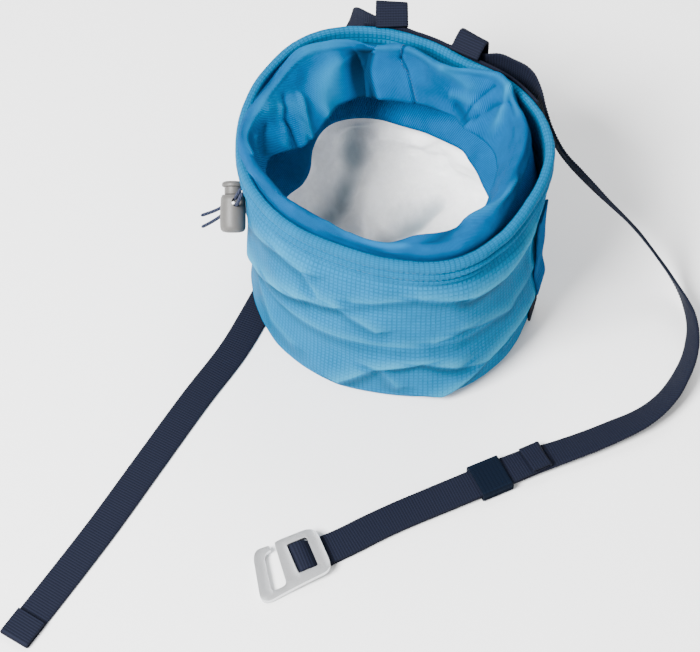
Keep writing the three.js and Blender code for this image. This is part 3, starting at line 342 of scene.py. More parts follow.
BELT_LEFT = [
    Place(-0.0006, 0.0756, 0.1, 90, 86),
    Place(-0.0065, 0.0774, 0.1, 95, 82),
    Place(-0.0125, 0.0816, 0.0988, 96, 68),
    Place(-0.0176, 0.0874, 0.0952, 88, 48),
    Place(-0.0212, 0.093, 0.0882, 66, 34),
    Place(-0.0232, 0.0984, 0.0786, 38, 22),
    Place(-0.024, 0.1026, 0.067, 16, 12),
    Place(-0.0242, 0.105, 0.054, 4, 5),
    Place(-0.024, 0.1052, 0.0405, -4, 0),
    Place(-0.0236, 0.1026, 0.0275, -9, 0),
    Place(-0.0234, 0.097, 0.016, -13, 0),
    Place(-0.0238, 0.0886, 0.0072, -17, 0),
    Place(-0.0254, 0.0784, 0.002, -21, 0),
    Place(-0.0294, 0.0666, 0.0008, -25, 0),
    Place(-0.0372, 0.049, 0.0008, -26, 0),
    Place(-0.0484, 0.0244, 0.0008, -26, 0),
    Place(-0.0592, 0.0, 0.0008, -26, 0),
    Place(-0.0678, -0.0205, 0.0008, -27, 0),
    Place(-0.0786, -0.044, 0.0008, -28, 0),
    Place(-0.0961, -0.0731, 0.0008, -29, 0),
    Place(-0.1163, -0.109, 0.0008, -30, 0),
    Place(-0.1355, -0.1432, 0.0008, -31, 0),
    Place(-0.1552, -0.1758, 0.0008, -31, 0),
    Place(-0.1633, -0.1888, 0.0008, -31, 0),
]
LEFT_END = Vector((-0.1699, -0.1994, 0.0008))
BELT_TAIL = [
    Place(-0.0313, -0.1551, 0.0008, -67, 0),
    Place(-0.033, -0.156, 0.0008, -67, 0),
    Place(-0.037, -0.1573, 0.0008, -67, 0),
    Place(-0.0426, -0.1594, 0.0008, -67, 0),
    Place(-0.0448, -0.1603, 0.0011, -67, 0),
    Place(-0.0459, -0.1607, 0.0024, -67, 0),
    Place(-0.0456, -0.1606, 0.0042, -67, 0),
    Place(-0.0437, -0.1598, 0.0051, -67, 0),
    Place(-0.0416, -0.159, 0.0052, -67, 0),
    Place(-0.0398, -0.1583, 0.0044, -67, 0),
    Place(-0.0386, -0.1578, 0.003, -67, 0),
    Place(-0.037, -0.1571, 0.0024, -67, 0),
    Place(-0.0326, -0.1555, 0.0024, -67, 0),
    Place(-0.0233, -0.1511, 0.0024, -67, 0),
    Place(-0.0117, -0.1446, 0.0024, -67, 0),
    Place(0.0023, -0.1374, 0.0025, -67, 0),
    Place(0.0164, -0.1309, 0.0029, -67, 0),
    Place(0.0346, -0.1228, 0.0038, -67, 0),
    Place(0.0447, -0.1181, 0.004, -67, 0),
    Place(0.0546, -0.1134, 0.0039, -67, 3),
    Place(0.0635, -0.1092, 0.0039, -67, 7),
]
TAIL_TIP = Vector((0.0705, -0.1059, 0.0041))
TAIL_TIP_LEAN = 9
KEEPER_AT = Place(0.0447, -0.118, 0.0023, -65, 0)
LEFT_FOLD = 0.012
TAIL_FOLD = 0.0085

# Drawcord routes from under the hem through the lock to the free tips
CORD_UPPER = [
    (-0.0709, -0.0172, 0.0942),
    (-0.0724, -0.0176, 0.0912),
    (-0.0737, -0.0166, 0.0872),
    (-0.074, -0.014, 0.0831),
    (-0.075, -0.012, 0.0799),
    (-0.0759, -0.0104, 0.0773),
    (-0.077, -0.0088, 0.0747),
    (-0.0784, -0.0074, 0.0719),
    (-0.0804, -0.0068, 0.0689),
    (-0.0834, -0.0074, 0.0667),
    (-0.0874, -0.0086, 0.0655),
    (-0.0919, -0.01, 0.0648),
]
CORD_LOWER = [
    (-0.0702, -0.02, 0.0942),
    (-0.0717, -0.0206, 0.0908),
    (-0.073, -0.0198, 0.0862),
    (-0.0735, -0.017, 0.0817),
    (-0.0746, -0.0146, 0.0783),
    (-0.0757, -0.0127, 0.0755),
    (-0.077, -0.011, 0.0729),
    (-0.0786, -0.01, 0.0699),
    (-0.0806, -0.0102, 0.0669),
    (-0.0838, -0.0114, 0.0647),
    (-0.0874, -0.0132, 0.0634),
    (-0.0915, -0.0152, 0.0625),
]
LOCK_AT = Vector((-0.0759, -0.0116, 0.0765))
LOCK_AXIS = Vector((0, 0.82, 0.57)).normalized()
LOCK_HOLE_DIRECTION = Vector((-0.35, 0.54, -0.77)).normalized()

# Hook outline in plan, as shares of its length and width, and the corner's size of its width
Corner = namedtuple("Corner", "u v round")
HOOK_OUTLINE = [
    Corner(-0.151, -0.376, 0.2),
    Corner(0.389, -0.386, 0.16),
    Corner(0.4, -0.33, 0.03),
    Corner(0.452, 0.362, 0.08),
    Corner(0.658, 0.372, 0.08),
    Corner(0.575, -0.245, 0.09),
    Corner(0.466, -0.285, 0.02),
    Corner(0.471, -0.36, 0.03),
    Corner(0.69, -0.38, 0.2),
    Corner(0.84, 0.515, 0.2),
    Corner(0.329, 0.44, 0.5),
    Corner(-0.151, 0.4, 0.17),
]
HOOK_LENGTH = 0.0365
HOOK_WIDTH = 0.0301
HOOK_THICKNESS = 0.0024
HOOK_REACH = 0.031
HOOK_SLOT = 0.0098
HOOK_EDGE = 0.0003
HOOK_SLOT_CORNER = 0.0012
HOOK_BAR = 0.0028
HOOK_TILT = 6.4
HOOK_HEADING = 201.7
HOOK_AT = Vector((-0.0379, -0.1575, 0))

# Camera that took the view: its place, pitch and lens
CAMERA_AT = Vector((-0.02095, -0.5304, 0.7165))
CAMERA_PITCH = 35
CAMERA_LENS = 90

# Soft lamps that all face the origin, their sizes in metres and powers in watts
Lamp = namedtuple("Lamp", "name at size power")
LAMPS = [
    Lamp("key", Vector((-0.85, -0.75, 1.25)), 0.6, 105),
    Lamp("fill", Vector((1.1, -0.9, 1.0)), 1.4, 5),
    Lamp("back", Vector((0.3, 1.1, 1.4)), 1.0, 24),
]
STUDIO_LIGHT = 0.7
FLOOR_HALF = 6


# Sizes and colours that a user would change
def length(name, words, value):
    return bpy.props.FloatProperty(name=name, description=words, default=value, unit="LENGTH")


def colour(name, words, value):
    return bpy.props.FloatVectorProperty(
        name=name, description=words, default=value, size=3, subtype="COLOR", min=0, max=1,
    )


class ChalkBagSizes(bpy.types.PropertyGroup):
    hem_depth: length("Hem depth", "Depth of the turned band at the rim", 0.013)
    twill_thickness: length("Collar cloth", "Thickness of the folded collar", 0.0013)
    pile_depth: length("Pile depth", "Thickness of the fleece lining", 0.004)
    webbing_width: length("Webbing width", "Width of the belt and the tape", 0.015)
    webbing_thickness: length("Webbing thickness", "Thickness of the belt", 0.0013)
    rib_pitch: length("Rib pitch", "Distance between the ribs of the webbing", 0.0013)
    grid_pitch: length("Grid pitch", "Distance between the strong threads of the shell", 0.0022)
    twill_pitch: length("Twill pitch", "Distance between the collar's diagonal lines", 0.0009)
    cord_diameter: length("Cord diameter", "Diameter of the drawcord", 0.0016)


class ChalkBagColours(bpy.types.PropertyGroup):
    shell: colour("Shell", "Ripstop of the shell", (0.0, 0.125, 0.275))
    twill: colour("Collar", "Twill of the collar", (0.0, 0.082, 0.235))
    fleece: colour("Fleece", "Pile of the lining", (0.95, 0.96, 0.97))
    webbing: colour("Webbing", "Belt, tape and loops", (0.0055, 0.0068, 0.014))
    keeper: colour("Keeper", "Sleeve on the belt", (0.0015, 0.004, 0.010))
    hook: colour("Hook", "Aluminium of the hook", (0.62, 0.63, 0.645))
    plastic: colour("Lock", "Plastic of the cord lock", (0.075, 0.072, 0.068))
    cord: colour("Cord", "Drawcord", (0.008, 0.012, 0.03))
    thread: colour("Thread", "Dark sewing thread", (0.0, 0.045, 0.14))
    floor: colour("Floor", "Floor under the bag", (0.9, 0.9, 0.9))


# Smooth lines and tables
def blend(low, high, value):
    """From 0 at low to 1 at high, smoothly."""
    t = min(max((value - low) / (high - low), 0), 1)
    return t * t * (3 - 2 * t)


TABLES = {"plan": PLAN, "collar": COLLAR, "seam": SEAM}


@lru_cache(maxsize=None)
def around(table, column, angle):
    """A column of a table read at any angle, on a smooth closed curve through its rows."""
    rows = TABLES[table]
    count = len(rows)
    angle %= 360
    row = max(k for k in range(count) if rows[k].angle <= angle)

    def knot(k):
        turns, place = divmod(k, count)
        return rows[place].angle + 360 * turns, getattr(rows[place], column)

    (a0, v0), (a1, v1), (a2, v2), (a3, v3) = (knot(row + k) for k in (-1, 0, 1, 2))
    span = a2 - a1
    t = (angle - a1) / span
    lift = t * (1 - t) * span * ((v2 - v0) / (a2 - a0) * (1 - t) - (v3 - v1) / (a3 - a1) * t)
    return v1 + (v2 - v1) * t * t * (3 - 2 * t) + lift


def through(points, t):
    """The point at t, from 0 to 1, of a smooth line through points."""
    last = len(points) - 1
    k = min(int(t * last), last - 1)
    w = t * last - k
    p1, p2 = points[k], points[k + 1]
    p0 = points[k - 1] if k > 0 else p1 * 2 - p2
    p3 = points[k + 2] if k + 2 <= last else p2 * 2 - p1
    d0, d1, d2 = (max(sqrt((b - a).length), 1e-5) for a, b in ((p0, p1), (p1, p2), (p2, p3)))
    start = ((p1 - p0) / d0 - (p2 - p0) / (d0 + d1) + (p2 - p1) / d1) * d1
    end = ((p2 - p1) / d1 - (p3 - p1) / (d1 + d2) + (p3 - p2) / d2) * d1
    return (
        p1 + start * w + ((p2 - p1) * 3 - start * 2 - end) * w * w
        + ((p1 - p2) * 2 + start + end) * w ** 3
    )


def polar(angle, radius, height):
    return Vector((radius * cos(radians(angle)), radius * sin(radians(angle)), height))


def rumple(point, size, seed=0.0):
    """Soft noise from -1 to 1 with lumps of the given size."""
    return noise.noise(point / size + Vector((seed, 2.7 * seed, 1.3)))


Ripple = namedtuple("Ripple", "size seed depth")


def ripples(point, rows):
    """Soft noise of several sizes, added up."""
    return sum(rumple(point, row.size, row.seed) * row.depth for row in rows)


# Wall of the bag
RIM_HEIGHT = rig.box("rim_hem")[1].z


@lru_cache(maxsize=None)
def fold_relief(angle, height):
    """How far the folds stand out at an angle and height, and their painted light: above 0 for a
    painted highlight along the crest, below 0 for painted shade in the hollow under it."""
    rise = tone = painted_shade_under = 0
    for fold in SHELL_FOLDS:
        run = Vector((radians(fold.to_angle - fold.angle) * RIM_RADIUS,
                      (fold.to_height - fold.height) * RIM_HEIGHT))
        turn = (angle - fold.angle + 180) % 360 - 180
        here = Vector((radians(turn) * RIM_RADIUS, height - fold.height * RIM_HEIGHT))
        share = min(max(here.dot(run) / run.length_squared, 0), 1)
        away = here - run * share
        width = FOLD_REACH * (fold.above if away.y > 0 else fold.below)
        rise = max(rise, fold.rise * exp(-((away.length / width) ** 1.3)))
        # The second value is painted light: a painted highlight close to each ridge, less painted shade in the band
        # just below it
        tone = max(tone, fold.rise * exp(-((away.length / width * 3) ** 1.2)))
        if away.y < 0:
            painted_shade_under = max(painted_shade_under, fold.rise * exp(-(((away.length - width) / width) ** 2)))
    return rise * FOLD_RISE, tone - 0.7 * painted_shade_under


def wall_radius(angle, height):
    share = min(max(height / RIM_HEIGHT, 0), 1)
    base = around("plan", "base", angle) * BASE_RADIUS
    rim = around("plan", "rim", angle) * RIM_RADIUS
    waist = around("plan", "waist", angle) * WAIST_DEPTH * 4 * share * (1 - share)
    return base + (rim - base) * share - waist


@lru_cache(maxsize=None)
def rim_radius(angle):
    return around("plan", "rim", angle) * RIM_RADIUS


# Mesh helpers
def cloth(columns, rows, place, flat, closed=False, crest=None):
    """A grid of cloth whose points go where place(u, v) says. Its UV map is the flat cloth,
    given by its size or by a function of u and v."""
    bm = bmesh.new()
    bmesh.ops.create_grid(bm, x_segments=columns, y_segments=rows, size=1)
    uv = bm.loops.layers.uv.new("flat")
    # The crest layer holds painted light for the finish: above 0 a painted highlight, below 0 painted shade
    layer = bm.verts.layers.float.new("crest") if crest else None
    shares = {v: ((v.co.x + 1) / 2, (v.co.y + 1) / 2) for v in bm.verts}
    for face in bm.faces:
        for loop in face.loops:
            u, v = shares[loop.vert]
            loop[uv].uv = flat(u, v) if callable(flat) else (u * flat[0], v * flat[1])
    for vert, (u, v) in shares.items():
        vert.co = place(u, v)
        if crest:
            vert[layer] = crest(u, v)
    if closed:
        bmesh.ops.remove_doubles(bm, verts=bm.verts, dist=1e-6)
    return bm


def solid(bm):
    """Closes open ends and turns the faces outwards."""
    bmesh.ops.holes_fill(bm, edges=bm.edges, sides=0)
    bmesh.ops.recalc_face_normals(bm, faces=bm.faces)
    if bm.calc_volume(signed=True) < 0:
        bmesh.ops.reverse_faces(bm, faces=bm.faces)
    return bm


def piece(name, bm, finish, slot, nodes=(), sharp=None):
    """Makes the named object from the bmesh, with its finish, its slot and the nodes it replaces."""
    mesh = bpy.data.meshes.new(name)
    bm.to_mesh(mesh)
    bm.free()
    mesh.materials.append(finish)
    mesh.shade_smooth()
    if sharp:
        mesh.set_sharp_from_angle(angle=radians(sharp))
    made = bpy.data.objects.new(name, mesh)
    bpy.context.scene.collection.objects.link(made)
    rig.slot(made, slot)
    if nodes:
        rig.replaces(made, *nodes)
    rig.ride(made, "root")
    return made


def thicken(made, thickness, offset=-1):
    wall = made.modifiers.new("Wall", "SOLIDIFY")
    wall.thickness = thickness
    wall.offset = offset
    wall.use_even_offset = False
    return made


def apply_modifiers(made):
    graph = bpy.context.evaluated_depsgraph_get()
    mesh = bpy.data.meshes.new_from_object(made.evaluated_get(graph))
    made.modifiers.clear()
    made.data = mesh


# Webbing
Station = namedtuple("Station", "at across length")


def facing(place):
    tip = radians(place.tip)
    return polar(place.turn, cos(tip), sin(tip))


def measured(pairs):
    """Stations from pairs of place and direction across, with the length along the band."""
    stations = []
    length = 0
    for at, across in pairs:
        if stations:
            length += (at - stations[-1].at).length
        stations.append(Station(at, across, length))
    return stations


def evenly(stations, spacing):
    """The same band with stations at one spacing."""
    total = stations[-1].length
    count = ceil(total / spacing)
    lengths = [station.length for station in stations]
    even = []
    for k in range(count + 1):
        length = total * k / count
        right = min(max(bisect_right(lengths, length), 1), len(stations) - 1)
        a, b = stations[right - 1], stations[right]
        share = (length - a.length) / max(b.length - a.length, 1e-9)
        even.append(Station(a.at.lerp(b.at, share), a.across.lerp(b.across, share), length))
    return even


def route_pairs(route, steps=12):
    places = [Vector((row.x, row.y, row.z)) for row in route]
    across = [facing(row) for row in route]
    count = steps * (len(route) - 1)
    return [(through(places, k / count), through(across, k / count)) for k in range(count + 1)]


def folded(tip, run, length, high, across):
    """The end of a band folded back over itself: a half turn, then a layer at height high."""
    radius = (high - tip.z) / 2
    end = tip - run * radius
    turn = [
        end + run * (radius * cos(a)) + Vector((0, 0, radius + radius * sin(a)))
        for a in (pi * (k / 6 - 0.5) for k in range(7))
    ]
    back = end - run * length
    back.z = high
    layer = [turn[-1].lerp(back, share) for share in (0.25, 0.5, 0.75, 1)]
    return [(at, across) for at in turn + layer]


def webbing_section(width, thickness):
    """Round the band: offsets across and up, and how much of the ribs shows there."""
    flat, edge = width / 2 - thickness / 2, thickness / 2
    top = [(-flat + 2 * flat * k / 8, edge, 1.0) for k in range(9)]
    right = [(flat + edge * sin(a), edge * cos(a), 0.45) for a in (pi / 4, pi / 2, 3 * pi / 4)]
    half = top + right
    return half + [(-x, -y, rib) for x, y, rib in half] + [half[0]]


RIB_DEPTH = 0.00013


def webbing(stations, width, thickness, pitch):
    """A ribbed band of webbing along its stations."""
    stations = evenly(stations, pitch / 4)
    section = webbing_section(width, thickness)
    last = len(stations) - 1
    sides = []
    for k, station in enumerate(stations):
        run = (stations[min(k + 1, last)].at - stations[max(k - 1, 0)].at).normalized()
        side = (station.across - run * station.across.dot(run)).normalized()
        sides.append((side, run.cross(side)))

    def place(u, v):
        k = round(u * last)
        station = stations[k]
        side, up = sides[k]
        x, y, share = section[round(v * (len(section) - 1))]
        rib = RIB_DEPTH * cos(tau * station.length / pitch)
        scale = 1 + share * rib / (thickness / 2)
        stretch = 1 + rib * 0.6 / (width / 2)
        return station.at + side * (x * stretch) + up * (y * scale)

    flat = (stations[-1].length, 2 * (width + thickness))
    return solid(cloth(last, len(section) - 1, place, flat, closed=True))


def tube(points, diameter, sides=12, spacing=0.0005):
    """A round cord along a smooth line, closed at both ends."""
    line = [Vector(point) for point in points]
    count = 12 * (len(line) - 1)
    pairs = [(through(line, k / count), Vector((0, 0, 1))) for k in range(count + 1)]
    stations = evenly(measured(pairs), spacing)
    last = len(stations) - 1
    axes = []
    side = Vector((1, 0.3, 0.2))
    for k in range(last + 1):
        run = (stations[min(k + 1, last)].at - stations[max(k - 1, 0)].at).normalized()
        side = (side - run * side.dot(run)).normalized()
        axes.append((side, run.cross(side)))

    def place(u, v):
        k = round(u * last)
        end = min(u, 1 - u) * stations[-1].length
        radius = diameter / 2 * min(1, sqrt(0.15 + end / (diameter * 0.5)))
        side, up = axes[k]
        return stations[k].at + (side * cos(tau * v) + up * sin(tau * v)) * radius

    bm = cloth(last, sides, place, (stations[-1].length, pi * diameter), closed=True)
    return solid(bm), [station.at for station in stations]


def stitch_row(bm, points, radius):
    """Adds a row of sewn stitches, each a small round-ended lump from one point to the next."""
    for a, b in zip(points[::2], points[1::2]):
        run = b - a
        turn = Vector((0, 0, 1)).rotation_difference(run)
        shape = Matrix.Translation((a + b) / 2) @ turn.to_matrix().to_4x4()
        shape = shape @ Matrix.Diagonal((radius, radius, run.length * 0.55, 1))
        bmesh.ops.create_uvsphere(bm, u_segments=6, v_segments=4, radius=1, matrix=shape)


# Finishes; a Mix node keeps a colour's sockets at these places
MIX_SHARE = 0
MIX_FIRST = 6
MIX_SECOND = 7
MIX_COLOUR = 2


class Finish:
    """A node material under construction."""

    def __init__(self, name, **sockets):
        self.material = bpy.data.materials.new(name)
        self.material.use_nodes = True
        self.tree = self.material.node_tree
        self.shader = self.tree.nodes["Principled BSDF"]
        for socket, value in sockets.items():
            self.shader.inputs[socket.replace("_", " ")].default_value = value

    def node(self, kind, links=None, values=None, **settings):
        made = self.tree.nodes.new(kind)
        for name, value in settings.items():
            setattr(made, name, value)
        for socket, value in (values or {}).items():
            made.inputs[socket].default_value = value
        for socket, source in (links or {}).items():
            self.tree.links.new(source, made.inputs[socket])
        return made

    def join(self, source, socket):
        self.tree.links.new(source, self.shader.inputs[socket])

    def flat(self):
        return self.node("ShaderNodeTexCoord").outputs["UV"]

    def place(self):
        return self.node("ShaderNodeTexCoord").outputs["Object"]

    def noise(self, vector, size, detail=4, rough=0.6):
        values = {"Scale": 1 / size, "Detail": detail, "Roughness": rough}
        return self.node("ShaderNodeTexNoise", {"Vector": vector}, values).outputs["Fac"]

    def bands(self, vector, pitch, direction="X"):
        """Stripes of one pitch, from 0 to 1."""
        span = 0.1 * pi if direction != "DIAGONAL" else 0.1 * pi * sqrt(2)
        wave = self.node(
            "ShaderNodeTexWave", {"Vector": vector}, {"Scale": span / pitch},
            wave_type="BANDS", bands_direction=direction,
        )
        return wave.outputs["Fac"]

    def feed(self, socket, value):
        """Gives a socket a number, a colour or another node's output."""
        if isinstance(value, bpy.types.NodeSocket):
            self.tree.links.new(value, socket)
        else:
            socket.default_value = value if isinstance(value, (int, float)) else (*value, 1)

    def math(self, operation, first, second):
        made = self.node("ShaderNodeMath", operation=operation)
        self.feed(made.inputs[0], first)
        self.feed(made.inputs[1], second)
        return made.outputs[0]

    def span(self, value, low, high, to_low=0.0, to_high=1.0):
        values = {"From Min": low, "From Max": high, "To Min": to_low, "To Max": to_high}
        return self.node("ShaderNodeMapRange", {"Value": value}, values).outputs["Result"]

    def mix(self, share, first, second):
        """A colour between first and second."""
        made = self.node("ShaderNodeMix", data_type="RGBA")
        self.feed(made.inputs[MIX_SHARE], share)
        self.feed(made.inputs[MIX_FIRST], first)
        self.feed(made.inputs[MIX_SECOND], second)
        return made.outputs[MIX_COLOUR]

    def painted_fold_light(self, colour, pale, painted_shade_colour):
        """A colour with painted light: a painted highlight on the crests of the cloth's folds and painted shade in the
        hollows, read from the crest attribute.
        """
        crest = self.node("ShaderNodeAttribute", attribute_name="crest").outputs["Fac"]
        with_painted_highlight = self.mix(self.span(crest, 0.05, 1.1), colour, pale)
        return self.mix(self.span(crest, -0.05, -0.8), with_painted_highlight, painted_shade_colour)

    def bump(self, height, distance, strength=1.0):
        made = self.node(
            "ShaderNodeBump", {"Height": height}, {"Distance": distance, "Strength": strength},
        )
        self.join(made.outputs["Normal"], "Normal")


def shade(value, factor, white=0.0):
    """A colour made darker or lighter, with some white mixed in."""
    return tuple(min(channel * factor * (1 - white) + white, 1) for channel in value)


# Painted highlight colours for the crests of the cloth's folds, and the painted shade colour for the fleece's hollows
RIPSTOP_PAINTED_HIGHLIGHT = (0.02, 0.25, 0.42)
TWILL_PAINTED_HIGHLIGHT = (0.002, 0.16, 0.34)
FLEECE_PAINTED_SHADE = (0.34, 0.4, 0.44)


def ripstop_finish(colours, sizes):
    finish = Finish(
        "ripstop cloth", Roughness=0.6, Sheen_Weight=0.01, Sheen_Roughness=0.4,
        Sheen_Tint=(0.2, 0.7, 1, 1), Specular_IOR_Level=0.03,
    )
    flat = finish.flat()
    across = finish.span(finish.bands(flat, sizes.grid_pitch, "X"), 0.7, 0.95)
    along = finish.span(finish.bands(flat, sizes.grid_pitch, "Y"), 0.7, 0.95)
    threads = finish.math("MAXIMUM", across, along)
    squares = finish.math("SUBTRACT", 1.0, threads)
    weave = finish.math(
        "ADD", finish.bands(flat, sizes.grid_pitch / 5, "X"),
        finish.bands(flat, sizes.grid_pitch / 5, "Y"),
    )
    mottle = finish.noise(finish.place(), 0.018)
    tone = finish.math(
        "ADD", finish.math("MULTIPLY", squares, 0.55), finish.span(mottle, 0.3, 0.7, 0, 0.4))
    cloth_colour = finish.mix(tone, shade(colours.shell, 0.7), shade(colours.shell, 1.15))
    # Painted highlight on the fold crests and painted shade in the hollows under them, over the cloth's own colour
    painted_light_colour = finish.painted_fold_light(cloth_colour, RIPSTOP_PAINTED_HIGHLIGHT, shade(colours.shell, 0.35))
    finish.join(painted_light_colour, "Base Color")
    height = finish.math("ADD", squares, finish.math("MULTIPLY", weave, 0.18))
    finish.bump(height, 0.0003)
    return finish.material


def twill_finish(colours, sizes):
    finish = Finish(
        "collar twill", Roughness=0.8, Sheen_Weight=0.015, Sheen_Roughness=0.5,
        Sheen_Tint=(0.3, 0.75, 1, 1), Specular_IOR_Level=0.04,
    )
    flat = finish.flat()
    lines = finish.bands(flat, sizes.twill_pitch, "DIAGONAL")
    fuzz = finish.noise(finish.place(), 0.0006, detail=2)
    mottle = finish.noise(finish.place(), 0.012)
    tone = finish.math(
        "ADD", finish.math("MULTIPLY", lines, 0.6), finish.span(mottle, 0.3, 0.7, 0, 0.4))
    cloth_colour = finish.mix(tone, shade(colours.twill, 0.6), shade(colours.twill, 1.3))
    # Painted highlight on the collar's crease ridges and painted shade in its crease valleys, over the twill's own
    # colour
    painted_light_colour = finish.painted_fold_light(cloth_colour, TWILL_PAINTED_HIGHLIGHT, shade(colours.twill, 0.3))
    finish.join(painted_light_colour, "Base Color")
    finish.bump(finish.math("ADD", lines, finish.math("MULTIPLY", fuzz, 0.5)), 0.0003)
    return finish.material


def fleece_finish(colours):
    finish = Finish(
        "fleece pile", Roughness=0.95, Sheen_Weight=0.2, Sheen_Roughness=0.6, Specular_IOR_Level=0.1,
        Subsurface_Weight=0.35, Subsurface_Radius=(0.004, 0.004, 0.0045), Subsurface_Scale=1.0,
    )
    place = finish.place()
    tufts = finish.noise(place, 0.0035, detail=6, rough=0.7)
    hairs = finish.noise(place, 0.0007, detail=3, rough=0.8)
    tone = finish.span(tufts, 0.3, 0.7)
    pile = finish.mix(tone, shade(colours.fleece, 0.86), colours.fleece)
    # Painted shade in the fleece's hollows, and its own white on the swells as a painted highlight
    finish.join(finish.painted_fold_light(pile, colours.fleece, FLEECE_PAINTED_SHADE), "Base Color")
    finish.bump(finish.math("ADD", tufts, finish.math("MULTIPLY", hairs, 0.35)), 0.0012, 0.6)
    return finish.material


def webbing_finish(name, value, pitch, sheen=0.012):
    finish = Finish(
        name, Roughness=0.72, Sheen_Weight=sheen, Sheen_Roughness=0.3,
        Sheen_Tint=(0.6, 0.72, 1, 1), Specular_IOR_Level=0.06,
    )
    flat = finish.flat()
    ribs = finish.bands(flat, pitch, "X")
    yarns = finish.bands(flat, pitch * 0.75, "Y")
    fuzz = finish.noise(finish.place(), 0.0005, detail=2)
    tone = finish.math(
        "ADD", finish.math("MULTIPLY", ribs, 0.6), finish.math("MULTIPLY", fuzz, 0.5))
    finish.join(finish.mix(tone, shade(value, 0.55), shade(value, 1.5)), "Base Color")
    height = finish.math(
        "ADD", finish.math("MULTIPLY", yarns, 0.6), finish.math("MULTIPLY", fuzz, 0.6))
    finish.bump(height, 0.00012)
    return finish.material


def metal_finish(colours):
    finish = Finish("satin aluminium", Metallic=1.0, Roughness=0.32)
    place = finish.place()
    grain = finish.noise(place, 0.0004, detail=3)
    cloud = finish.noise(place, 0.006)
    finish.join(finish.mix(cloud, shade(colours.hook, 0.86), colours.hook), "Base Color")
    finish.join(finish.span(grain, 0.3, 0.7, 0.26, 0.42), "Roughness")
    finish.bump(grain, 0.00003)
    return finish.material


def plastic_finish(colours):
    finish = Finish("lock plastic", Roughness=0.48, Specular_IOR_Level=0.45)
    place = finish.place()
    grain = finish.noise(place, 0.0003, detail=2)
    cloud = finish.noise(place, 0.004)
    tone = finish.mix(cloud, shade(colours.plastic, 0.85), shade(colours.plastic, 1.2))
    finish.join(tone, "Base Color")
    finish.join(finish.span(grain, 0.3, 0.7, 0.42, 0.58), "Roughness")
    finish.bump(grain, 0.00004)
    return finish.material


def cord_finish(colours):
    finish = Finish("braided cord", Roughness=0.7, Specular_IOR_Level=0.1)
    flat = finish.flat()
    braid = finish.bands(flat, 0.0012, "DIAGONAL")
    tone = finish.mix(braid, shade(colours.cord, 0.6), shade(colours.cord, 1.8, 0.02))
    finish.join(tone, "Base Color")
    finish.bump(braid, 0.00015)
    return finish.material


def thread_finish(name, value):
    finish = Finish(name, Roughness=0.6)
    fuzz = finish.noise(finish.place(), 0.0002, detail=2)
    finish.join(finish.mix(fuzz, shade(value, 0.8), shade(value, 1.3)), "Base Color")
    return finish.material


def floor_finish(colours):
    finish = Finish("pale floor", Roughness=0.9, Specular_IOR_Level=0.1)
    cloud = finish.noise(finish.place(), 0.2)
    finish.join(finish.mix(cloud, colours.floor, shade(colours.floor, 1.01)), "Base Color")
    return finish.material


def settings(context):
    return context.scene.chalk_bag_sizes, context.scene.chalk_bag_colours


def shared(name, make):
    """A finish that several pieces share, made once."""
    return bpy.data.materials.get(name) or make()


def belt_webbing(colours, sizes):
    return shared(
        "belt webbing", lambda: webbing_finish("belt webbing", colours.webbing, sizes.rib_pitch))


# Operators, one for each piece or group of like pieces
class CHALKBAG_OT_stage(bpy.types.Operator):
    """Adds the floor, the lights and the camera"""

    bl_idname = "chalkbag.stage"
    bl_label = "Stage"

    def execute(self, context):
        _, colours = settings(context)
        bm = bmesh.new()
        bmesh.ops.create_grid(bm, x_segments=1, y_segments=1, size=FLOOR_HALF)
        mesh = bpy.data.meshes.new("floor")
        bm.to_mesh(mesh)
        bm.free()
        mesh.materials.append(floor_finish(colours))
        floor_plane = bpy.data.objects.new("floor", mesh)
        context.scene.collection.objects.link(floor_plane)
        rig.stage(floor_plane)

        camera = bpy.data.cameras.new("camera")
        camera.lens = CAMERA_LENS
        camera.clip_start = 0.01
        seen_from = bpy.data.objects.new("camera", camera)
        seen_from.location = CAMERA_AT
        seen_from.rotation_euler = (radians(CAMERA_PITCH), 0, 0)
        context.scene.collection.objects.link(seen_from)
        context.scene.camera = seen_from

        for row in LAMPS:
            lamp = bpy.data.lights.new(row.name, "AREA")
            lamp.size = row.size
            lamp.energy = row.power
            placed = bpy.data.objects.new(row.name, lamp)
            placed.location = row.at
            placed.rotation_euler = (-row.at).to_track_quat("-Z", "Y").to_euler()
            context.scene.collection.objects.link(placed)

        world = bpy.data.worlds.new("studio")
        world.use_nodes = True
        background = world.node_tree.nodes["Background"]
        background.inputs["Color"].default_value = (1, 1, 1, 1)
        background.inputs["Strength"].default_value = STUDIO_LIGHT
        context.scene.world = world
        return {"FINISHED"}


def right_stations():
    return measured(route_pairs(BELT_RIGHT))


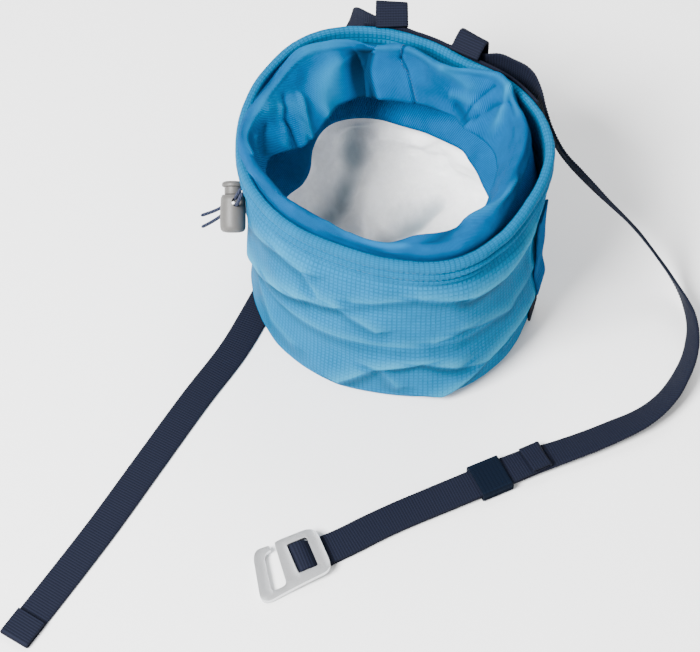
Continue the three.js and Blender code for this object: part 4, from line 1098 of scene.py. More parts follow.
class CHALKBAG_OT_belt(bpy.types.Operator):
    """Makes the belt's two straps, its doubled tail and the stretch behind the bag"""

    bl_idname = "chalkbag.belt"
    bl_label = "Belt"

    def execute(self, context):
        sizes, colours = settings(context)
        finish = belt_webbing(colours, sizes)
        width, thickness, pitch = sizes.webbing_width, sizes.webbing_thickness, sizes.rib_pitch
        doubled = thickness + 2 * CLEARANCE

        join = BELT_LEFT[-1]
        run = (LEFT_END - Vector((join.x, join.y, join.z))).normalized()
        left = route_pairs(BELT_LEFT) + folded(
            LEFT_END, run, LEFT_FOLD, join.z + doubled, facing(join))
        stations = measured(left)
        strap = piece(
            "left_strap", webbing(stations, width, thickness, pitch), finish, "webbing",
            ("belt_left", "belt_left_end"),
        )
        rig.cord(
            strap, exit=stations[0].at, length=stations[-1].length, diameter=width,
            far_end="bare", stiffness="limp", lay="loose", path=[s.at for s in stations[::3]],
        )

        piece(
            "right_strap", webbing(right_stations(), width, thickness, pitch), finish, "webbing",
            ("belt_right",),
        )
        tail_run = (TAIL_TIP - Vector(BELT_TAIL[-1][:3])).normalized()
        across = facing(Place(*TAIL_TIP, BELT_TAIL[-1].turn, TAIL_TIP_LEAN))
        tail = route_pairs(BELT_TAIL) + folded(
            TAIL_TIP, tail_run, TAIL_FOLD, TAIL_TIP.z + doubled, across)
        piece(
            "strap_tail", webbing(measured(tail), width, thickness, pitch), finish, "webbing",
            ("belt_tail",),
        )
        piece("back_strap", webbing(belt_back(thickness), width, thickness, pitch), finish,
              "webbing", ("belt_back",))
        return {"FINISHED"}


TAPE_THICKNESS = 0.0011
TAPE_LIFT = 0.0008
TAPE_START = 19
TAPE_END = 101


def belt_back(thickness):
    """The belt between the loops, from the left half's start to the right half's start."""
    out = CLEARANCE + TAPE_THICKNESS / 2 + (TAPE_THICKNESS + thickness) / 2 + CLEARANCE
    middle = [polar(a, rim_radius(a) + out, BELT_LEFT[0].z) for a in (82, 77, 72, 67)]
    left = [Vector(row[:3]) for row in BELT_LEFT[1::-1]]
    right = [Vector(row[:3]) for row in BELT_RIGHT[:2]]
    places = left + middle + right
    spans, trim, count = len(places) - 1, 0.07, 60
    shares = [(1 + trim + (spans - 2 - 2 * trim) * k / count) / spans for k in range(count + 1)]
    return measured([(through(places, share), Vector((0, 0, 1))) for share in shares])


Bend = namedtuple("Bend", "out up")
Loop = namedtuple("Loop", "piece node angle reach")
LOOPS = [
    Loop("loop_left_webbing", "belt_loop_left", 90.5, 0.013),
    Loop("loop_right_webbing", "belt_loop_right", 57.5, 0.0104),
]
LOOP_YAW = 6
LOOP_WIDTH = 0.0155


def loop_stations(angle, reach, sizes):
    """A belt loop, from the rim's top over the belt and back to the wall."""
    rim = rim_radius(angle)
    thickness = sizes.webbing_thickness
    over = RIM_HEIGHT + TAPE_LIFT + 2 * CLEARANCE + thickness / 2
    seat = CLEARANCE + thickness / 2
    hem_bottom = RIM_HEIGHT - sizes.hem_depth
    line = [
        Bend(-0.0014, 0),
        Bend(0.0006, 0.0006),
        Bend(reach * 0.35, 0.0026),
        Bend(reach * 0.72, 0.004),
        Bend(reach * 0.95, 0.0026),
        Bend(reach, -0.0015),
        Bend(reach * 0.98, -0.009),
        Bend(reach * 0.86, -0.016),
        Bend(reach * 0.55, -0.0215),
        Bend(seat + 0.0011, -0.026),
    ]
    points = []
    for out, up in line:
        height = over + up
        wall = wall_radius(angle, height) + seat + 4 * CLEARANCE if height < hem_bottom else 0
        points.append(polar(angle, max(rim + out, wall), height))
    across = polar(angle + 90 - LOOP_YAW, 1, 0)
    return measured([(through(points, k / 80), across) for k in range(81)])


class CHALKBAG_OT_back_webbing(bpy.types.Operator):
    """Makes the tape behind the rim and the two loops that carry the belt"""

    bl_idname = "chalkbag.back_webbing"
    bl_label = "Tape and loops"

    def execute(self, context):
        sizes, colours = settings(context)
        finish = belt_webbing(colours, sizes)
        height = RIM_HEIGHT + TAPE_LIFT - sizes.webbing_width / 2
        out = CLEARANCE + TAPE_THICKNESS / 2
        pairs = []
        for k in range(161):
            angle = TAPE_START + (TAPE_END - TAPE_START) * k / 160
            pairs.append((polar(angle, rim_radius(angle) + out, height), Vector((0, 0, 1))))
        tape = webbing(measured(pairs), sizes.webbing_width, TAPE_THICKNESS, sizes.rib_pitch)
        piece("rim_tape", tape, finish, "webbing", ("back_tape",))
        for row in LOOPS:
            stations = loop_stations(row.angle, row.reach, sizes)
            band = webbing(stations, LOOP_WIDTH, sizes.webbing_thickness, sizes.rib_pitch)
            piece(row.piece, band, finish, "webbing", (row.node,))
        return {"FINISHED"}


KEEPER_LENGTH = 0.0155
KEEPER_WALL = 0.0012
KEEPER_ROUND = 0.0005
KEEPER_RIB = 0.00007
KEEPER_RIBS = 120
KEEPER_RIB_PITCH = 0.0009


def rounded_rectangle(share, width, height, radius):
    """A place on a rounded rectangle's outline and the direction out of it there."""
    straight = (width - 2 * radius, height - 2 * radius)
    sides = [straight[0], straight[1], straight[0], straight[1]]
    corner = pi / 2 * radius
    left = share % 1 * (sum(sides) + 4 * corner)
    for k, side in enumerate(sides):
        turn = Matrix.Rotation(-k * pi / 2, 2)
        half = (straight[0] / 2, straight[1] / 2) if k % 2 == 0 else (straight[1] / 2, straight[0] / 2)
        if left <= side:
            return turn @ Vector((left - half[0], half[1] + radius)), turn @ Vector((0, 1))
        left -= side
        if left <= corner:
            angle = left / radius
            out = Vector((sin(angle), cos(angle)))
            return turn @ (Vector((half[0], half[1])) + out * radius), turn @ out
        left -= corner
    return rounded_rectangle(0, width, height, radius)


class CHALKBAG_OT_keeper(bpy.types.Operator):
    """Makes the sleeve that holds the belt's tail"""

    bl_idname = "chalkbag.keeper"
    bl_label = "Keeper"

    def execute(self, context):
        sizes, colours = settings(context)
        finish = webbing_finish("keeper sleeve", colours.keeper, KEEPER_RIB_PITCH, 0.006)
        over = next(row for row in BELT_TAIL if row.x == KEEPER_AT.x)
        width = sizes.webbing_width + 2 * CLEARANCE
        height = over.z - KEEPER_AT.z + sizes.webbing_thickness + 2 * CLEARANCE
        across = facing(KEEPER_AT)
        up = Vector((0, 0, 1))
        along = across.cross(up)
        bottom = KEEPER_AT.z - sizes.webbing_thickness / 2 - CLEARANCE
        centre = Vector((KEEPER_AT.x, KEEPER_AT.y, bottom + height / 2))

        def place(u, v):
            spot, out = rounded_rectangle(u, width, height, KEEPER_ROUND)
            angle = tau * v
            half = KEEPER_WALL / 2
            reach = min(max(sin(angle) * 1.8, -1), 1)
            lift = half + half * min(max(cos(angle) * 1.8, -1), 1)
            rib = KEEPER_RIB * cos(tau * u * KEEPER_RIBS) * (lift / KEEPER_WALL)
            spot = spot + out * (lift + rib)
            return centre + across * spot.x + up * spot.y + along * (reach * KEEPER_LENGTH / 2)

        bm = cloth(480, 24, place, (2 * (width + height), 2 * KEEPER_LENGTH), closed=True)
        piece("tail_keeper", solid(bm), finish, "keeper_webbing", ("keeper",))
        return {"FINISHED"}


def rounded_corners(corners, steps=6):
    """The points of an outline whose corners are eased by their own size."""
    points = []
    count = len(corners)
    for k, corner in enumerate(corners):
        here = Vector((corner.u, corner.v))
        ends = []
        for other in (corners[k - 1], corners[(k + 1) % count]):
            step = Vector((other.u, other.v)) - here
            ends.append(here + step.normalized() * min(corner.round, step.length / 2))
        for i in range(steps + 1):
            t = i / steps
            spot = ends[0] * (1 - t) ** 2 + here * (2 * t * (1 - t)) + ends[1] * t * t
            if not points or (spot - points[-1]).length > 1e-5:
                points.append(spot)
    return points


def plate(outlines, thickness):
    """A plate from its outer outline and its holes."""
    bm = bmesh.new()
    edges = []
    for outline in outlines:
        ring = [bm.verts.new((spot.x, spot.y, 0)) for spot in outline]
        edges += [bm.edges.new((a, b)) for a, b in zip(ring, ring[1:] + ring[:1])]
    bmesh.ops.triangle_fill(bm, use_beauty=True, use_dissolve=False, edges=edges)
    made = bmesh.ops.extrude_face_region(bm, geom=bm.faces[:])
    top = [v for v in made["geom"] if isinstance(v, bmesh.types.BMVert)]
    bmesh.ops.translate(bm, verts=top, vec=(0, 0, thickness))
    bmesh.ops.recalc_face_normals(bm, faces=bm.faces)
    return bm


def bevel_sharp(bm, offset, segments=3, angle=50):
    sharp = [e for e in bm.edges if e.is_manifold and e.calc_face_angle() > radians(angle)]
    bmesh.ops.bevel(
        bm, geom=sharp, offset=offset, offset_type="OFFSET", segments=segments,
        affect="EDGES", profile=0.5, material=-1, clamp_overlap=True,
    )


class CHALKBAG_OT_hook(bpy.types.Operator):
    """Makes the flat hook with its slot and the thin bar that the belt goes round"""

    bl_idname = "chalkbag.hook"
    bl_label = "Hook"

    def execute(self, context):
        sizes, colours = settings(context)
        outline = rounded_corners([
            Corner(c.u * HOOK_LENGTH, c.v * HOOK_WIDTH, c.round * HOOK_WIDTH) for c in HOOK_OUTLINE
        ])
        half = sizes.webbing_width / 2 + CLEARANCE
        slot = rounded_corners([
            Corner(u * HOOK_SLOT, v * half, HOOK_SLOT_CORNER)
            for u, v in ((0, -1), (1, -1), (1, 1), (0, 1))
        ])
        bm = plate([outline, slot], HOOK_THICKNESS)
        bevel_sharp(bm, HOOK_EDGE)
        bar_size = Matrix.Diagonal((HOOK_BAR, 2 * half + 0.002, HOOK_THICKNESS / 2, 1))
        bar = Matrix.Translation((HOOK_SLOT / 2, 0, HOOK_THICKNESS / 4)) @ bar_size
        bmesh.ops.create_cube(bm, size=1, matrix=bar)
        tilt = radians(HOOK_TILT)
        turn = Matrix.Rotation(radians(HOOK_HEADING), 4, "Z") @ Matrix.Rotation(tilt, 4, "Y")
        lift = Matrix.Translation(HOOK_AT + Vector((0, 0, HOOK_REACH * sin(tilt))))
        bmesh.ops.transform(bm, verts=bm.verts, matrix=lift @ turn)
        piece("slotted_hook", bm, metal_finish(colours), "hook_metal", ("g_hook",), sharp=35)
        stations = right_stations()
        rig.cord(
            bpy.data.objects["right_strap"], exit=stations[0].at, length=stations[-1].length,
            diameter=sizes.webbing_width, far_end="fitting", stiffness="limp", lay="loose",
            path=[s.at for s in stations[::3]],
            with_pieces=["slotted_hook", "tail_keeper", "strap_tail"],
        )
        return {"FINISHED"}


# Cord lock: radii and heights along its axis, measured from the hole
LOCK_RADIUS = 0.0061
LOCK_BARREL = 0.0176
LOCK_FOOT = 0.0036 - LOCK_BARREL
LOCK_HOLE = 0.0046
Ring = namedtuple("Ring", "radius height")
BARREL = [
    Ring(0, 0), Ring(0.5, 0), Ring(0.78, 0.02), Ring(0.93, 0.07), Ring(0.985, 0.15), Ring(1, 0.3),
    Ring(0.985, 0.6), Ring(0.945, 0.86), Ring(0.93, 0.93), Ring(0.88, 0.955), Ring(0.86, 0.99),
    Ring(0.82, 1), Ring(0.7, 1), Ring(0.68, 0.975), Ring(0, 0.975),
]
BUTTON = [
    Ring(0, 0.00395), Ring(0.0039, 0.00395), Ring(0.004, 0.0042), Ring(0.004, 0.0072),
    Ring(0.0046, 0.0074), Ring(0.0051, 0.0077), Ring(0.00525, 0.0084), Ring(0.0051, 0.0092),
    Ring(0.0044, 0.0098), Ring(0.0036, 0.01), Ring(0.0034, 0.0098), Ring(0, 0.0098),
]


def turned(rings, steps=64):
    """A solid turned about the lock's axis."""
    bm = bmesh.new()
    line = [bm.verts.new((ring.radius, 0, ring.height)) for ring in rings]
    edges = [bm.edges.new(pair) for pair in zip(line, line[1:])]
    bmesh.ops.spin(
        bm, geom=line + edges, cent=(0, 0, 0), axis=(0, 0, 1), angle=tau, steps=steps,
        use_merge=True,
    )
    bmesh.ops.remove_doubles(bm, verts=bm.verts, dist=1e-6)
    turn = Vector((0, 0, 1)).rotation_difference(LOCK_AXIS).to_matrix().to_4x4()
    bmesh.ops.transform(bm, verts=bm.verts, matrix=Matrix.Translation(LOCK_AT) @ turn)
    return solid(bm)


class CHALKBAG_OT_drawcord(bpy.types.Operator):
    """Makes the drawcord's two ends and the spring lock on them"""

    bl_idname = "chalkbag.drawcord"
    bl_label = "Drawcord and lock"

    def execute(self, context):
        sizes, colours = settings(context)
        plastic = plastic_finish(colours)
        rings = [Ring(r.radius * LOCK_RADIUS, LOCK_FOOT + r.height * LOCK_BARREL) for r in BARREL]
        barrel = piece("lock_barrel", turned(rings), plastic, "lock_plastic", ("cord_lock_body",))
        bm = bmesh.new()
        turn = Vector((0, 0, 1)).rotation_difference(LOCK_HOLE_DIRECTION).to_matrix().to_4x4()
        bmesh.ops.create_cone(
            bm, cap_ends=True, segments=40, radius1=LOCK_HOLE / 2, radius2=LOCK_HOLE / 2,
            depth=4 * LOCK_RADIUS, matrix=Matrix.Translation(LOCK_AT) @ turn,
        )
        mesh = bpy.data.meshes.new("bore")
        bm.to_mesh(mesh)
        bm.free()
        bore = bpy.data.objects.new("bore", mesh)
        context.scene.collection.objects.link(bore)
        cut = barrel.modifiers.new("Bore", "BOOLEAN")
        cut.object = bore
        cut.solver = "EXACT"
        apply_modifiers(barrel)
        bpy.data.objects.remove(bore)
        barrel.data.set_sharp_from_angle(angle=radians(40))
        button = piece(
            "lock_button", turned(BUTTON), plastic, "lock_plastic", ("cord_lock_button",),
            sharp=40,
        )
        finish = cord_finish(colours)
        for name, node, route, carried in (
            ("drawcord_upper", "drawcord_end_upper", CORD_UPPER, [barrel, button]),
            ("drawcord_lower", "drawcord_end_lower", CORD_LOWER, []),
        ):
            bm, path = tube(route, sizes.cord_diameter)
            cord = piece(name, bm, finish, "drawcord", (node,))
            length = sum((b - a).length for a, b in zip(path, path[1:]))
            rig.cord(
                cord, exit=path[0], length=length, diameter=sizes.cord_diameter, far_end="bare",
                stiffness="medium", lay="hanging", path=path[::2], with_pieces=carried,
            )
        return {"FINISHED"}


# Shell: its base, its folds between two heights, and its neck under the hem
BASE_LIFT = 0.0019
BASE_ROUND = 0.005
BASE_DOME = 0.0012
BASE_FADE = 0.012
FOLDS_START = 0.006
FOLDS_END = 0.024
NECK_LOW = 0.021
NECK_TOP = 0.014
NECK_INSET = 0.0013
SHELL_WALL = 0.0014
SHELL_RIPPLES = [Ripple(0.03, 4, 0.0012), Ripple(0.011, 9, 0.0005)]
# The belt's way under the base, and how far from its middle the base starts and stops to come down
BELT_WAY = (Vector((-0.0294, 0.0666)), Vector((-0.0786, -0.044)))
BELT_SIDE = 0.0085
BELT_CLEAR = 0.02


def base_lift(spot):
    """How far the base stands off the floor, clear of the belt that runs under it."""
    a, b = BELT_WAY
    run = (b - a).normalized()
    away = abs((spot - a).dot(Vector((-run.y, run.x))))
    return BASE_LIFT * (1 - blend(BELT_SIDE, BELT_CLEAR, away))


# Shares of the shell's rows that the base and its rounded edge take
BASE_ROWS = 0.1
CORNER_ROWS = 0.16
SHELL_TOP = RIM_HEIGHT - 0.011


def shell_flat(u, v):
    """Where a place of the shell lies on the flat cloth."""
    if v < BASE_ROWS:
        return (tau * RIM_RADIUS * u, BASE_RADIUS * (v / BASE_ROWS - 1))
    return (tau * RIM_RADIUS * u, SHELL_TOP * (v - BASE_ROWS) / (1 - BASE_ROWS))


def shell_height(v):
    return BASE_ROUND + (SHELL_TOP - BASE_ROUND) * (v - CORNER_ROWS) / (1 - CORNER_ROWS)


# Painted light of the shell's folds for its finish: painted highlight on the ridges, painted shade under them
def shell_painted_light(u, v):
    return fold_relief(360 * u, shell_height(v))[1] if v > CORNER_ROWS else 0


def shell_point(u, v):
    angle = 360 * u
    if v < BASE_ROWS:
        share = v / BASE_ROWS
        spot = polar(angle, (wall_radius(angle, 0) - BASE_ROUND) * share, 0)
        dome = BASE_DOME * (1 - share ** 4)
        return Vector((spot.x, spot.y, CLEARANCE + max(dome, base_lift(spot.xy))))
    if v < CORNER_ROWS:
        turn = pi / 2 * (v - BASE_ROWS) / (CORNER_ROWS - BASE_ROWS)
        height = BASE_ROUND * (1 - cos(turn))
        radius = wall_radius(angle, height) - BASE_ROUND * (1 - sin(turn))
    else:
        height = shell_height(v)
        radius = wall_radius(angle, height)
    fade = blend(0, FOLDS_START, height)
    fade *= 1 - blend(RIM_HEIGHT - FOLDS_END, RIM_HEIGHT - NECK_TOP, height)
    here = polar(angle, radius, height)
    radius += (fold_relief(angle, height)[0] + ripples(here, SHELL_RIPPLES)) * fade
    radius -= NECK_INSET * blend(RIM_HEIGHT - NECK_LOW, RIM_HEIGHT - NECK_TOP, height)
    spot = polar(angle, radius, height)
    spot.z += CLEARANCE + base_lift(spot.xy) * (1 - blend(0, BASE_FADE, height))
    return spot


class CHALKBAG_OT_shell(bpy.types.Operator):
    """Makes the ripstop shell"""

    bl_idname = "chalkbag.shell"
    bl_label = "Shell"

    def execute(self, context):
        sizes, colours = settings(context)
        finish = shared("ripstop cloth", lambda: ripstop_finish(colours, sizes))
        bm = cloth(AROUND, 150, shell_point, shell_flat, closed=True, crest=shell_painted_light)
        shell = piece("ripstop_shell", bm, finish, "ripstop", ("shell",))
        flat = (tau * RIM_RADIUS, RIM_HEIGHT + BASE_RADIUS)
        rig.sheet(shell, flat=flat, held="stretched", rests_on=["rim_hem"],
                 area=tau * RIM_RADIUS * (RIM_HEIGHT + BASE_RADIUS / 2))
        return {"FINISHED"}


# Hem: its stitch rows at drops from the rim, and its outer face from its lower edge to the rim
FACING_DROPS = [0.0012, 0.004, 0.009, 0.014, 0.021, 0.03]
FACING_LAYER = 0.0009
HEM_STITCHING = {"hem_stitches_upper": 0.0059, "hem_stitches_lower": 0.0109}
STITCHES = 160
STITCH_RADIUS = 0.0003
STITCH_INSET = 0.0006
HEM_LAYER = 0.001
HEM_FOLD = 0.0015
HEM_BACK = 0.0011
HEM_OPEN = 0.006
HEM_FLAT = 0.047
HEM_RIPPLES = [Ripple(0.012, 3, 0.0002), Ripple(0.004, 5, 0.00012)]
Section = namedtuple("Section", "inset drop")
HEM = [
    Section(0.0012, 0.0131), Section(0.0003, 0.0134), Section(-0.0003, 0.0127),
    Section(0.0002, 0.0115), Section(0.0008, 0.0109), Section(0.0002, 0.0101),
    Section(-0.0008, 0.009), Section(-0.0007, 0.0076), Section(0.0001, 0.0065),
    Section(0.0007, 0.0059), Section(0.0, 0.0052), Section(-0.0006, 0.004),
    Section(-0.0006, 0.0022), Section(0.0, 0.0007), Section(0.0011, 0.0),
]


def inner_face(angle, height):
    """The shell's inner face, where the facing lies."""
    neck = rim_radius(angle) - HEM_LAYER - CLEARANCE - SHELL_WALL
    wall = wall_radius(angle, min(height, RIM_HEIGHT - NECK_LOW)) - SHELL_WALL
    share = (height - RIM_HEIGHT + NECK_LOW) / (NECK_LOW - NECK_TOP)
    return wall + (neck - wall) * min(max(share, 0), 1)


def hem_outline(angle):
    """The hem's closed section: outer band, folded top, and the facing down inside."""
    rim = rim_radius(angle)
    points = [Vector((rim - s.inset, RIM_HEIGHT - s.drop)) for s in HEM]
    face = []
    for drop in FACING_DROPS:
        height = RIM_HEIGHT - drop
        face.append(Vector((inner_face(angle, height) - CLEARANCE, height)))
    points.append(Vector((face[0].x + 0.0002, RIM_HEIGHT - 0.0001)))
    points += [spot - Vector((FACING_LAYER, 0)) for spot in face]
    points += reversed(face[1:])
    points.append(Vector((face[0].x, RIM_HEIGHT - HEM_FOLD)))
    points.append(Vector((rim - HEM_BACK, RIM_HEIGHT - HEM_FOLD)))
    points.append(Vector((rim - HEM_BACK, RIM_HEIGHT - HEM_OPEN)))
    points.append(points[0])
    return points


class CHALKBAG_OT_hem(bpy.types.Operator):
    """Makes the stitched hem at the rim and its facing inside"""

    bl_idname = "chalkbag.hem"
    bl_label = "Rim hem"

    def execute(self, context):
        sizes, colours = settings(context)
        finish = shared("ripstop cloth", lambda: ripstop_finish(colours, sizes))
        rows = 3 * (len(hem_outline(0)) - 1)
        outlines = {}

        def place(u, v):
            angle = 360 * u
            if angle not in outlines:
                outlines[angle] = hem_outline(angle)
            spot = through(outlines[angle], v)
            ripple = ripples(polar(angle, spot.x, spot.y), HEM_RIPPLES)
            return polar(angle, spot.x + ripple, spot.y)

        round_hem = (tau * RIM_RADIUS, 2 * HEM_FLAT)
        band = solid(cloth(AROUND, rows, place, round_hem, closed=True))
        hem = piece("hem_band", band, finish, "ripstop", ("rim_hem",))
        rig.sheet(hem, flat=(tau * RIM_RADIUS, HEM_FLAT), held="stretched", rests_on=["shell"])

        thread = thread_finish("blue thread", shade(colours.shell, 0.8))
        for name, drop in HEM_STITCHING.items():
            bm = bmesh.new()
            for k in range(STITCHES):
                angles = [360 * (k + share) / STITCHES for share in (0.14, 0.86)]
                ends = [polar(a, rim_radius(a) - STITCH_INSET, RIM_HEIGHT - drop) for a in angles]
                stitch_row(bm, ends, STITCH_RADIUS)
            piece(name, bm, thread, "ripstop")
        return {"FINISHED"}


# Creases of the collar: between two places, at angles and shares along the cloth from its seam
# to the flap's edge; rise is a share of CREASE_RISE, below 0 for a valley, and left and right
# are how far it fades to its sides, as seen from its first place
CREASE_RISE = 0.0026
Crease = namedtuple("Crease", "angle share to_angle to_share rise left right")
CREASES = [
    Crease(101, 0.8, 104, 0.92, -1.7, 0.0016, 0.01),
    Crease(104, 0.92, 101, 1.02, -1.6, 0.0016, 0.01),
    Crease(106, 0.66, 128, 0.7, 0.5, 0.006, 0.008),
    Crease(118, 0.86, 136, 0.98, 1.0, 0.008, 0.006),
    Crease(84, 0.62, 86, 0.82, -0.5, 0.0012, 0.0012),
    Crease(86, 0.82, 74, 1.02, -0.5, 0.0012, 0.0012),
    Crease(152, 0.84, 162, 0.92, -0.4, 0.0022, 0.0016),
    Crease(162, 0.92, 168, 1.0, -0.5, 0.0016, 0.0022),
    Crease(158, 0.86, 172, 0.97, 0.35, 0.0022, 0.0016),
    Crease(156, 0.95, 168, 1.02, 0.35, 0.0016, 0.0016),
    Crease(170, 0.86, 180, 0.97, -0.4, 0.0018, 0.0022),
    Crease(164, 0.8, 152, 0.9, 0.5, 0.007, 0.005),
    Crease(178, 0.86, 185, 0.94, 0.3, 0.0018, 0.0018),
    Crease(145, 0.9, 158, 0.99, 0.5, 0.002, 0.0016),
    Crease(34, 0.8, 38, 0.95, -0.45, 0.002, 0.0014),
    Crease(19, 0.76, 31, 0.95, -0.5, 0.0018, 0.003),
    Crease(52, 0.92, 30, 0.93, 0.45, 0.002, 0.0014),
    Crease(48, 0.96, 34, 0.98, -0.6, 0.0014, 0.002),
    Crease(27, 0.68, 18, 0.9, 0.8, 0.003, 0.004),
    Crease(60, 0.74, 44, 0.86, 0.5, 0.005, 0.004),
    Crease(12, 0.7, 340, 0.8, 0.4, 0.004, 0.004),
    Crease(332, 0.6, 300, 0.78, 0.5, 0.004, 0.003),
    Crease(310, 0.92, 284, 0.68, -0.6, 0.006, 0.006),
    Crease(272, 0.66, 240, 0.74, 0.4, 0.004, 0.003),
    Crease(268, 0.9, 218, 0.97, -0.4, 0.003, 0.003),
]
COLLAR_LENGTH = 0.095
COLLAR_LAYER = 0.0017
OVER_RIM = 0.0014
COLLAR_LOOSE = (0.35, 0.62)
COLLAR_RIPPLES = [Ripple(0.02, 6, 0.0012), Ripple(0.008, 2, 0.0005)]
# The dark thread at the collar's back: angles and shares along the cloth
COLLAR_THREAD = [(84, 0.62), (86.5, 0.74), (86, 0.83), (82.5, 0.89), (78, 0.94), (74, 0.99)]
THREAD_STITCHES = 26
THREAD_RADIUS = 0.0004


@lru_cache(maxsize=None)
def collar_line(angle):
    """The folded collar's section, from the fleece seam over the crest to the flap's edge."""
    rim = rim_radius(angle)
    lip = around("collar", "lip", angle) * RIM_RADIUS
    turn = around("collar", "turn", angle) * RIM_RADIUS
    flap = around("collar", "flap", angle) * RIM_RADIUS
    crest = RIM_HEIGHT + around("collar", "rise", angle) * COLLAR_RISE
    flap_height = RIM_HEIGHT - around("collar", "drop", angle) * FLAP_DEPTH
    middle = (COLLAR_JOIN_HEIGHT + RIM_HEIGHT) / 2
    over_rim = RIM_HEIGHT + OVER_RIM

    def leg(height):
        return inner_face(angle, height) - 2 * CLEARANCE - COLLAR_LAYER

    seat = rim - leg(RIM_HEIGHT)
    throat = max(seat, lip * 0.9)
    return [
        Vector((rim - around("seam", "inset", angle), COLLAR_SEAM_HEIGHT)),
        Vector((leg(COLLAR_JOIN_HEIGHT) - CLEARANCE, COLLAR_JOIN_HEIGHT)),
        Vector((min(leg(middle), rim - (seat + throat) / 2), middle)),
        Vector((rim - throat, RIM_HEIGHT - 0.002)),
        Vector((rim - throat, RIM_HEIGHT + 0.0006)),
        Vector((rim - lip, max(over_rim, crest - 0.002))),
        Vector((rim - (lip * 2 + turn) / 3, max(over_rim, crest) + 0.0004)),
        Vector((rim - turn, crest - 0.0012)),
        Vector((rim - (turn * 2 + flap) / 3, (crest * 2 + flap_height) / 3 - 0.001)),
        Vector((rim - flap, flap_height)),
    ]


def crease_rise(angle, share):
    rise = 0
    for crease in CREASES:
        run = Vector((radians(crease.to_angle - crease.angle) * RIM_RADIUS,
                      (crease.to_share - crease.share) * COLLAR_LENGTH))
        turn = (angle - crease.angle + 180) % 360 - 180
        here = Vector((radians(turn) * RIM_RADIUS, (share - crease.share) * COLLAR_LENGTH))
        t = min(max(here.dot(run) / run.length_squared, 0), 1)
        away = here - run * t
        width = crease.left if run.cross(away) > 0 else crease.right
        rise += crease.rise * exp(-((away.length / width) ** 1.5))
    return rise * CREASE_RISE


def collar_point(angle, share, lift=0.0):
    """A place on the folded collar, lift above its cloth's middle."""
    line = collar_line(angle)
    spot = through(line, share)
    run = (through(line, min(share + 0.01, 1)) - through(line, max(share - 0.01, 0))).normalized()
    soft = ripples(polar(angle, spot.x, spot.y), COLLAR_RIPPLES)
    out = (crease_rise(angle, share) + soft) * blend(*COLLAR_LOOSE, share) + lift
    return polar(angle, spot.x + run.y * out, spot.y - run.x * out)


class CHALKBAG_OT_collar(bpy.types.Operator):
    """Makes the twill collar, folded down into the mouth"""

    bl_idname = "chalkbag.collar"
    bl_label = "Collar"

    def execute(self, context):
        sizes, colours = settings(context)
        finish = shared("collar twill", lambda: twill_finish(colours, sizes))
        flat = (tau * RIM_RADIUS, COLLAR_LENGTH)
        # The collar's crease rise also sets its painted light: a painted highlight on the ridges and painted shade in
        # the valleys
        bm = cloth(
            AROUND, 96, lambda u, v: collar_point(360 * u, v), flat, closed=True,
            crest=lambda u, v: crease_rise(360 * u, v) / CREASE_RISE)
        collar = piece("twill_collar", bm, finish, "twill", ("collar",))
        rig.sheet(collar, flat=flat, held="folded", rests_on=["rim_hem"])
        thicken(collar, sizes.twill_thickness, 0)

        bm = bmesh.new()
        way = [Vector(row) for row in COLLAR_THREAD]
        lift = sizes.twill_thickness / 2
        for k in range(THREAD_STITCHES):
            ends = [through(way, (k + share) / THREAD_STITCHES) for share in (0.06, 0.94)]
            stitch_row(bm, [collar_point(end.x, end.y, lift) for end in ends], THREAD_RADIUS)
        piece("collar_thread", bm, thread_finish("dark thread", colours.thread), "twill")
        return {"FINISHED"}


# Fleece: its section, as shares of the wall's radius at heights, from the middle outwards
FLEECE = [
    Ring(0, 0.016), Ring(0.3, 0.0145), Ring(0.55, 0.015), Ring(0.72, 0.019), Ring(0.82, 0.028),
    Ring(0.86, 0.038), Ring(0.87, 0.046),
]
FLEECE_FLAT = 0.11
FLEECE_AREA_DEPTH = 0.075
FLEECE_RIPPLES = [
    Ripple(0.028, 8, 0.006), Ripple(0.012, 1, 0.0028), Ripple(0.005, 7, 0.0011),
    Ripple(0.0022, 3, 0.0004),
]
# Soft folds of the fleece across its floor: from one place to another, with rise and width
Swell = namedtuple("Swell", "start end rise width")
FLEECE_RISE = 0.006
FLEECE_FOLDS = [
    Swell(Vector((-0.017, 0.06)), Vector((-0.034, 0.026)), -0.006, 0.007),
    Swell(Vector((0.026, 0.037)), Vector((-0.004, 0.014)), -0.006, 0.006),
    Swell(Vector((0.034, 0.032)), Vector((0.008, 0.01)), 0.004, 0.007),
    Swell(Vector((-0.005, 0.05)), Vector((0.035, 0.044)), 0.004, 0.01),
    Swell(Vector((-0.012, 0.04)), Vector((-0.016, 0.014)), 0.004, 0.008),
    Swell(Vector((0.0, 0.034)), Vector((0.03, 0.052)), -0.002, 0.006),
    Swell(Vector((-0.03, -0.01)), Vector((0.02, -0.03)), -0.005, 0.009),
]


def fleece_fold(spot):
    """How far the fleece's floor swells up or sinks at a spot."""
    rise = 0
    for fold in FLEECE_FOLDS:
        run = fold.end - fold.start
        share = min(max((spot - fold.start).dot(run) / run.length_squared, 0), 1)
        away = (spot - fold.start - run * share).length
        rise += fold.rise * exp(-((away / fold.width) ** 1.8))
    return rise


@lru_cache(maxsize=None)
def fleece_section(angle):
    seam = rim_radius(angle) - around("seam", "inset", angle)
    wall = [Vector((r.radius * wall_radius(angle, r.height), r.height)) for r in FLEECE]
    return wall + [Vector((seam + 0.0012, COLLAR_SEAM_HEIGHT - 0.0012))]


def fleece_smooth(u, v):
    """A place of the fleece before its lumps. It runs the other way round, so its front is inside."""
    angle = -360 * u
    spot = through(fleece_section(angle), v)
    return angle, polar(angle, spot.x, spot.y)


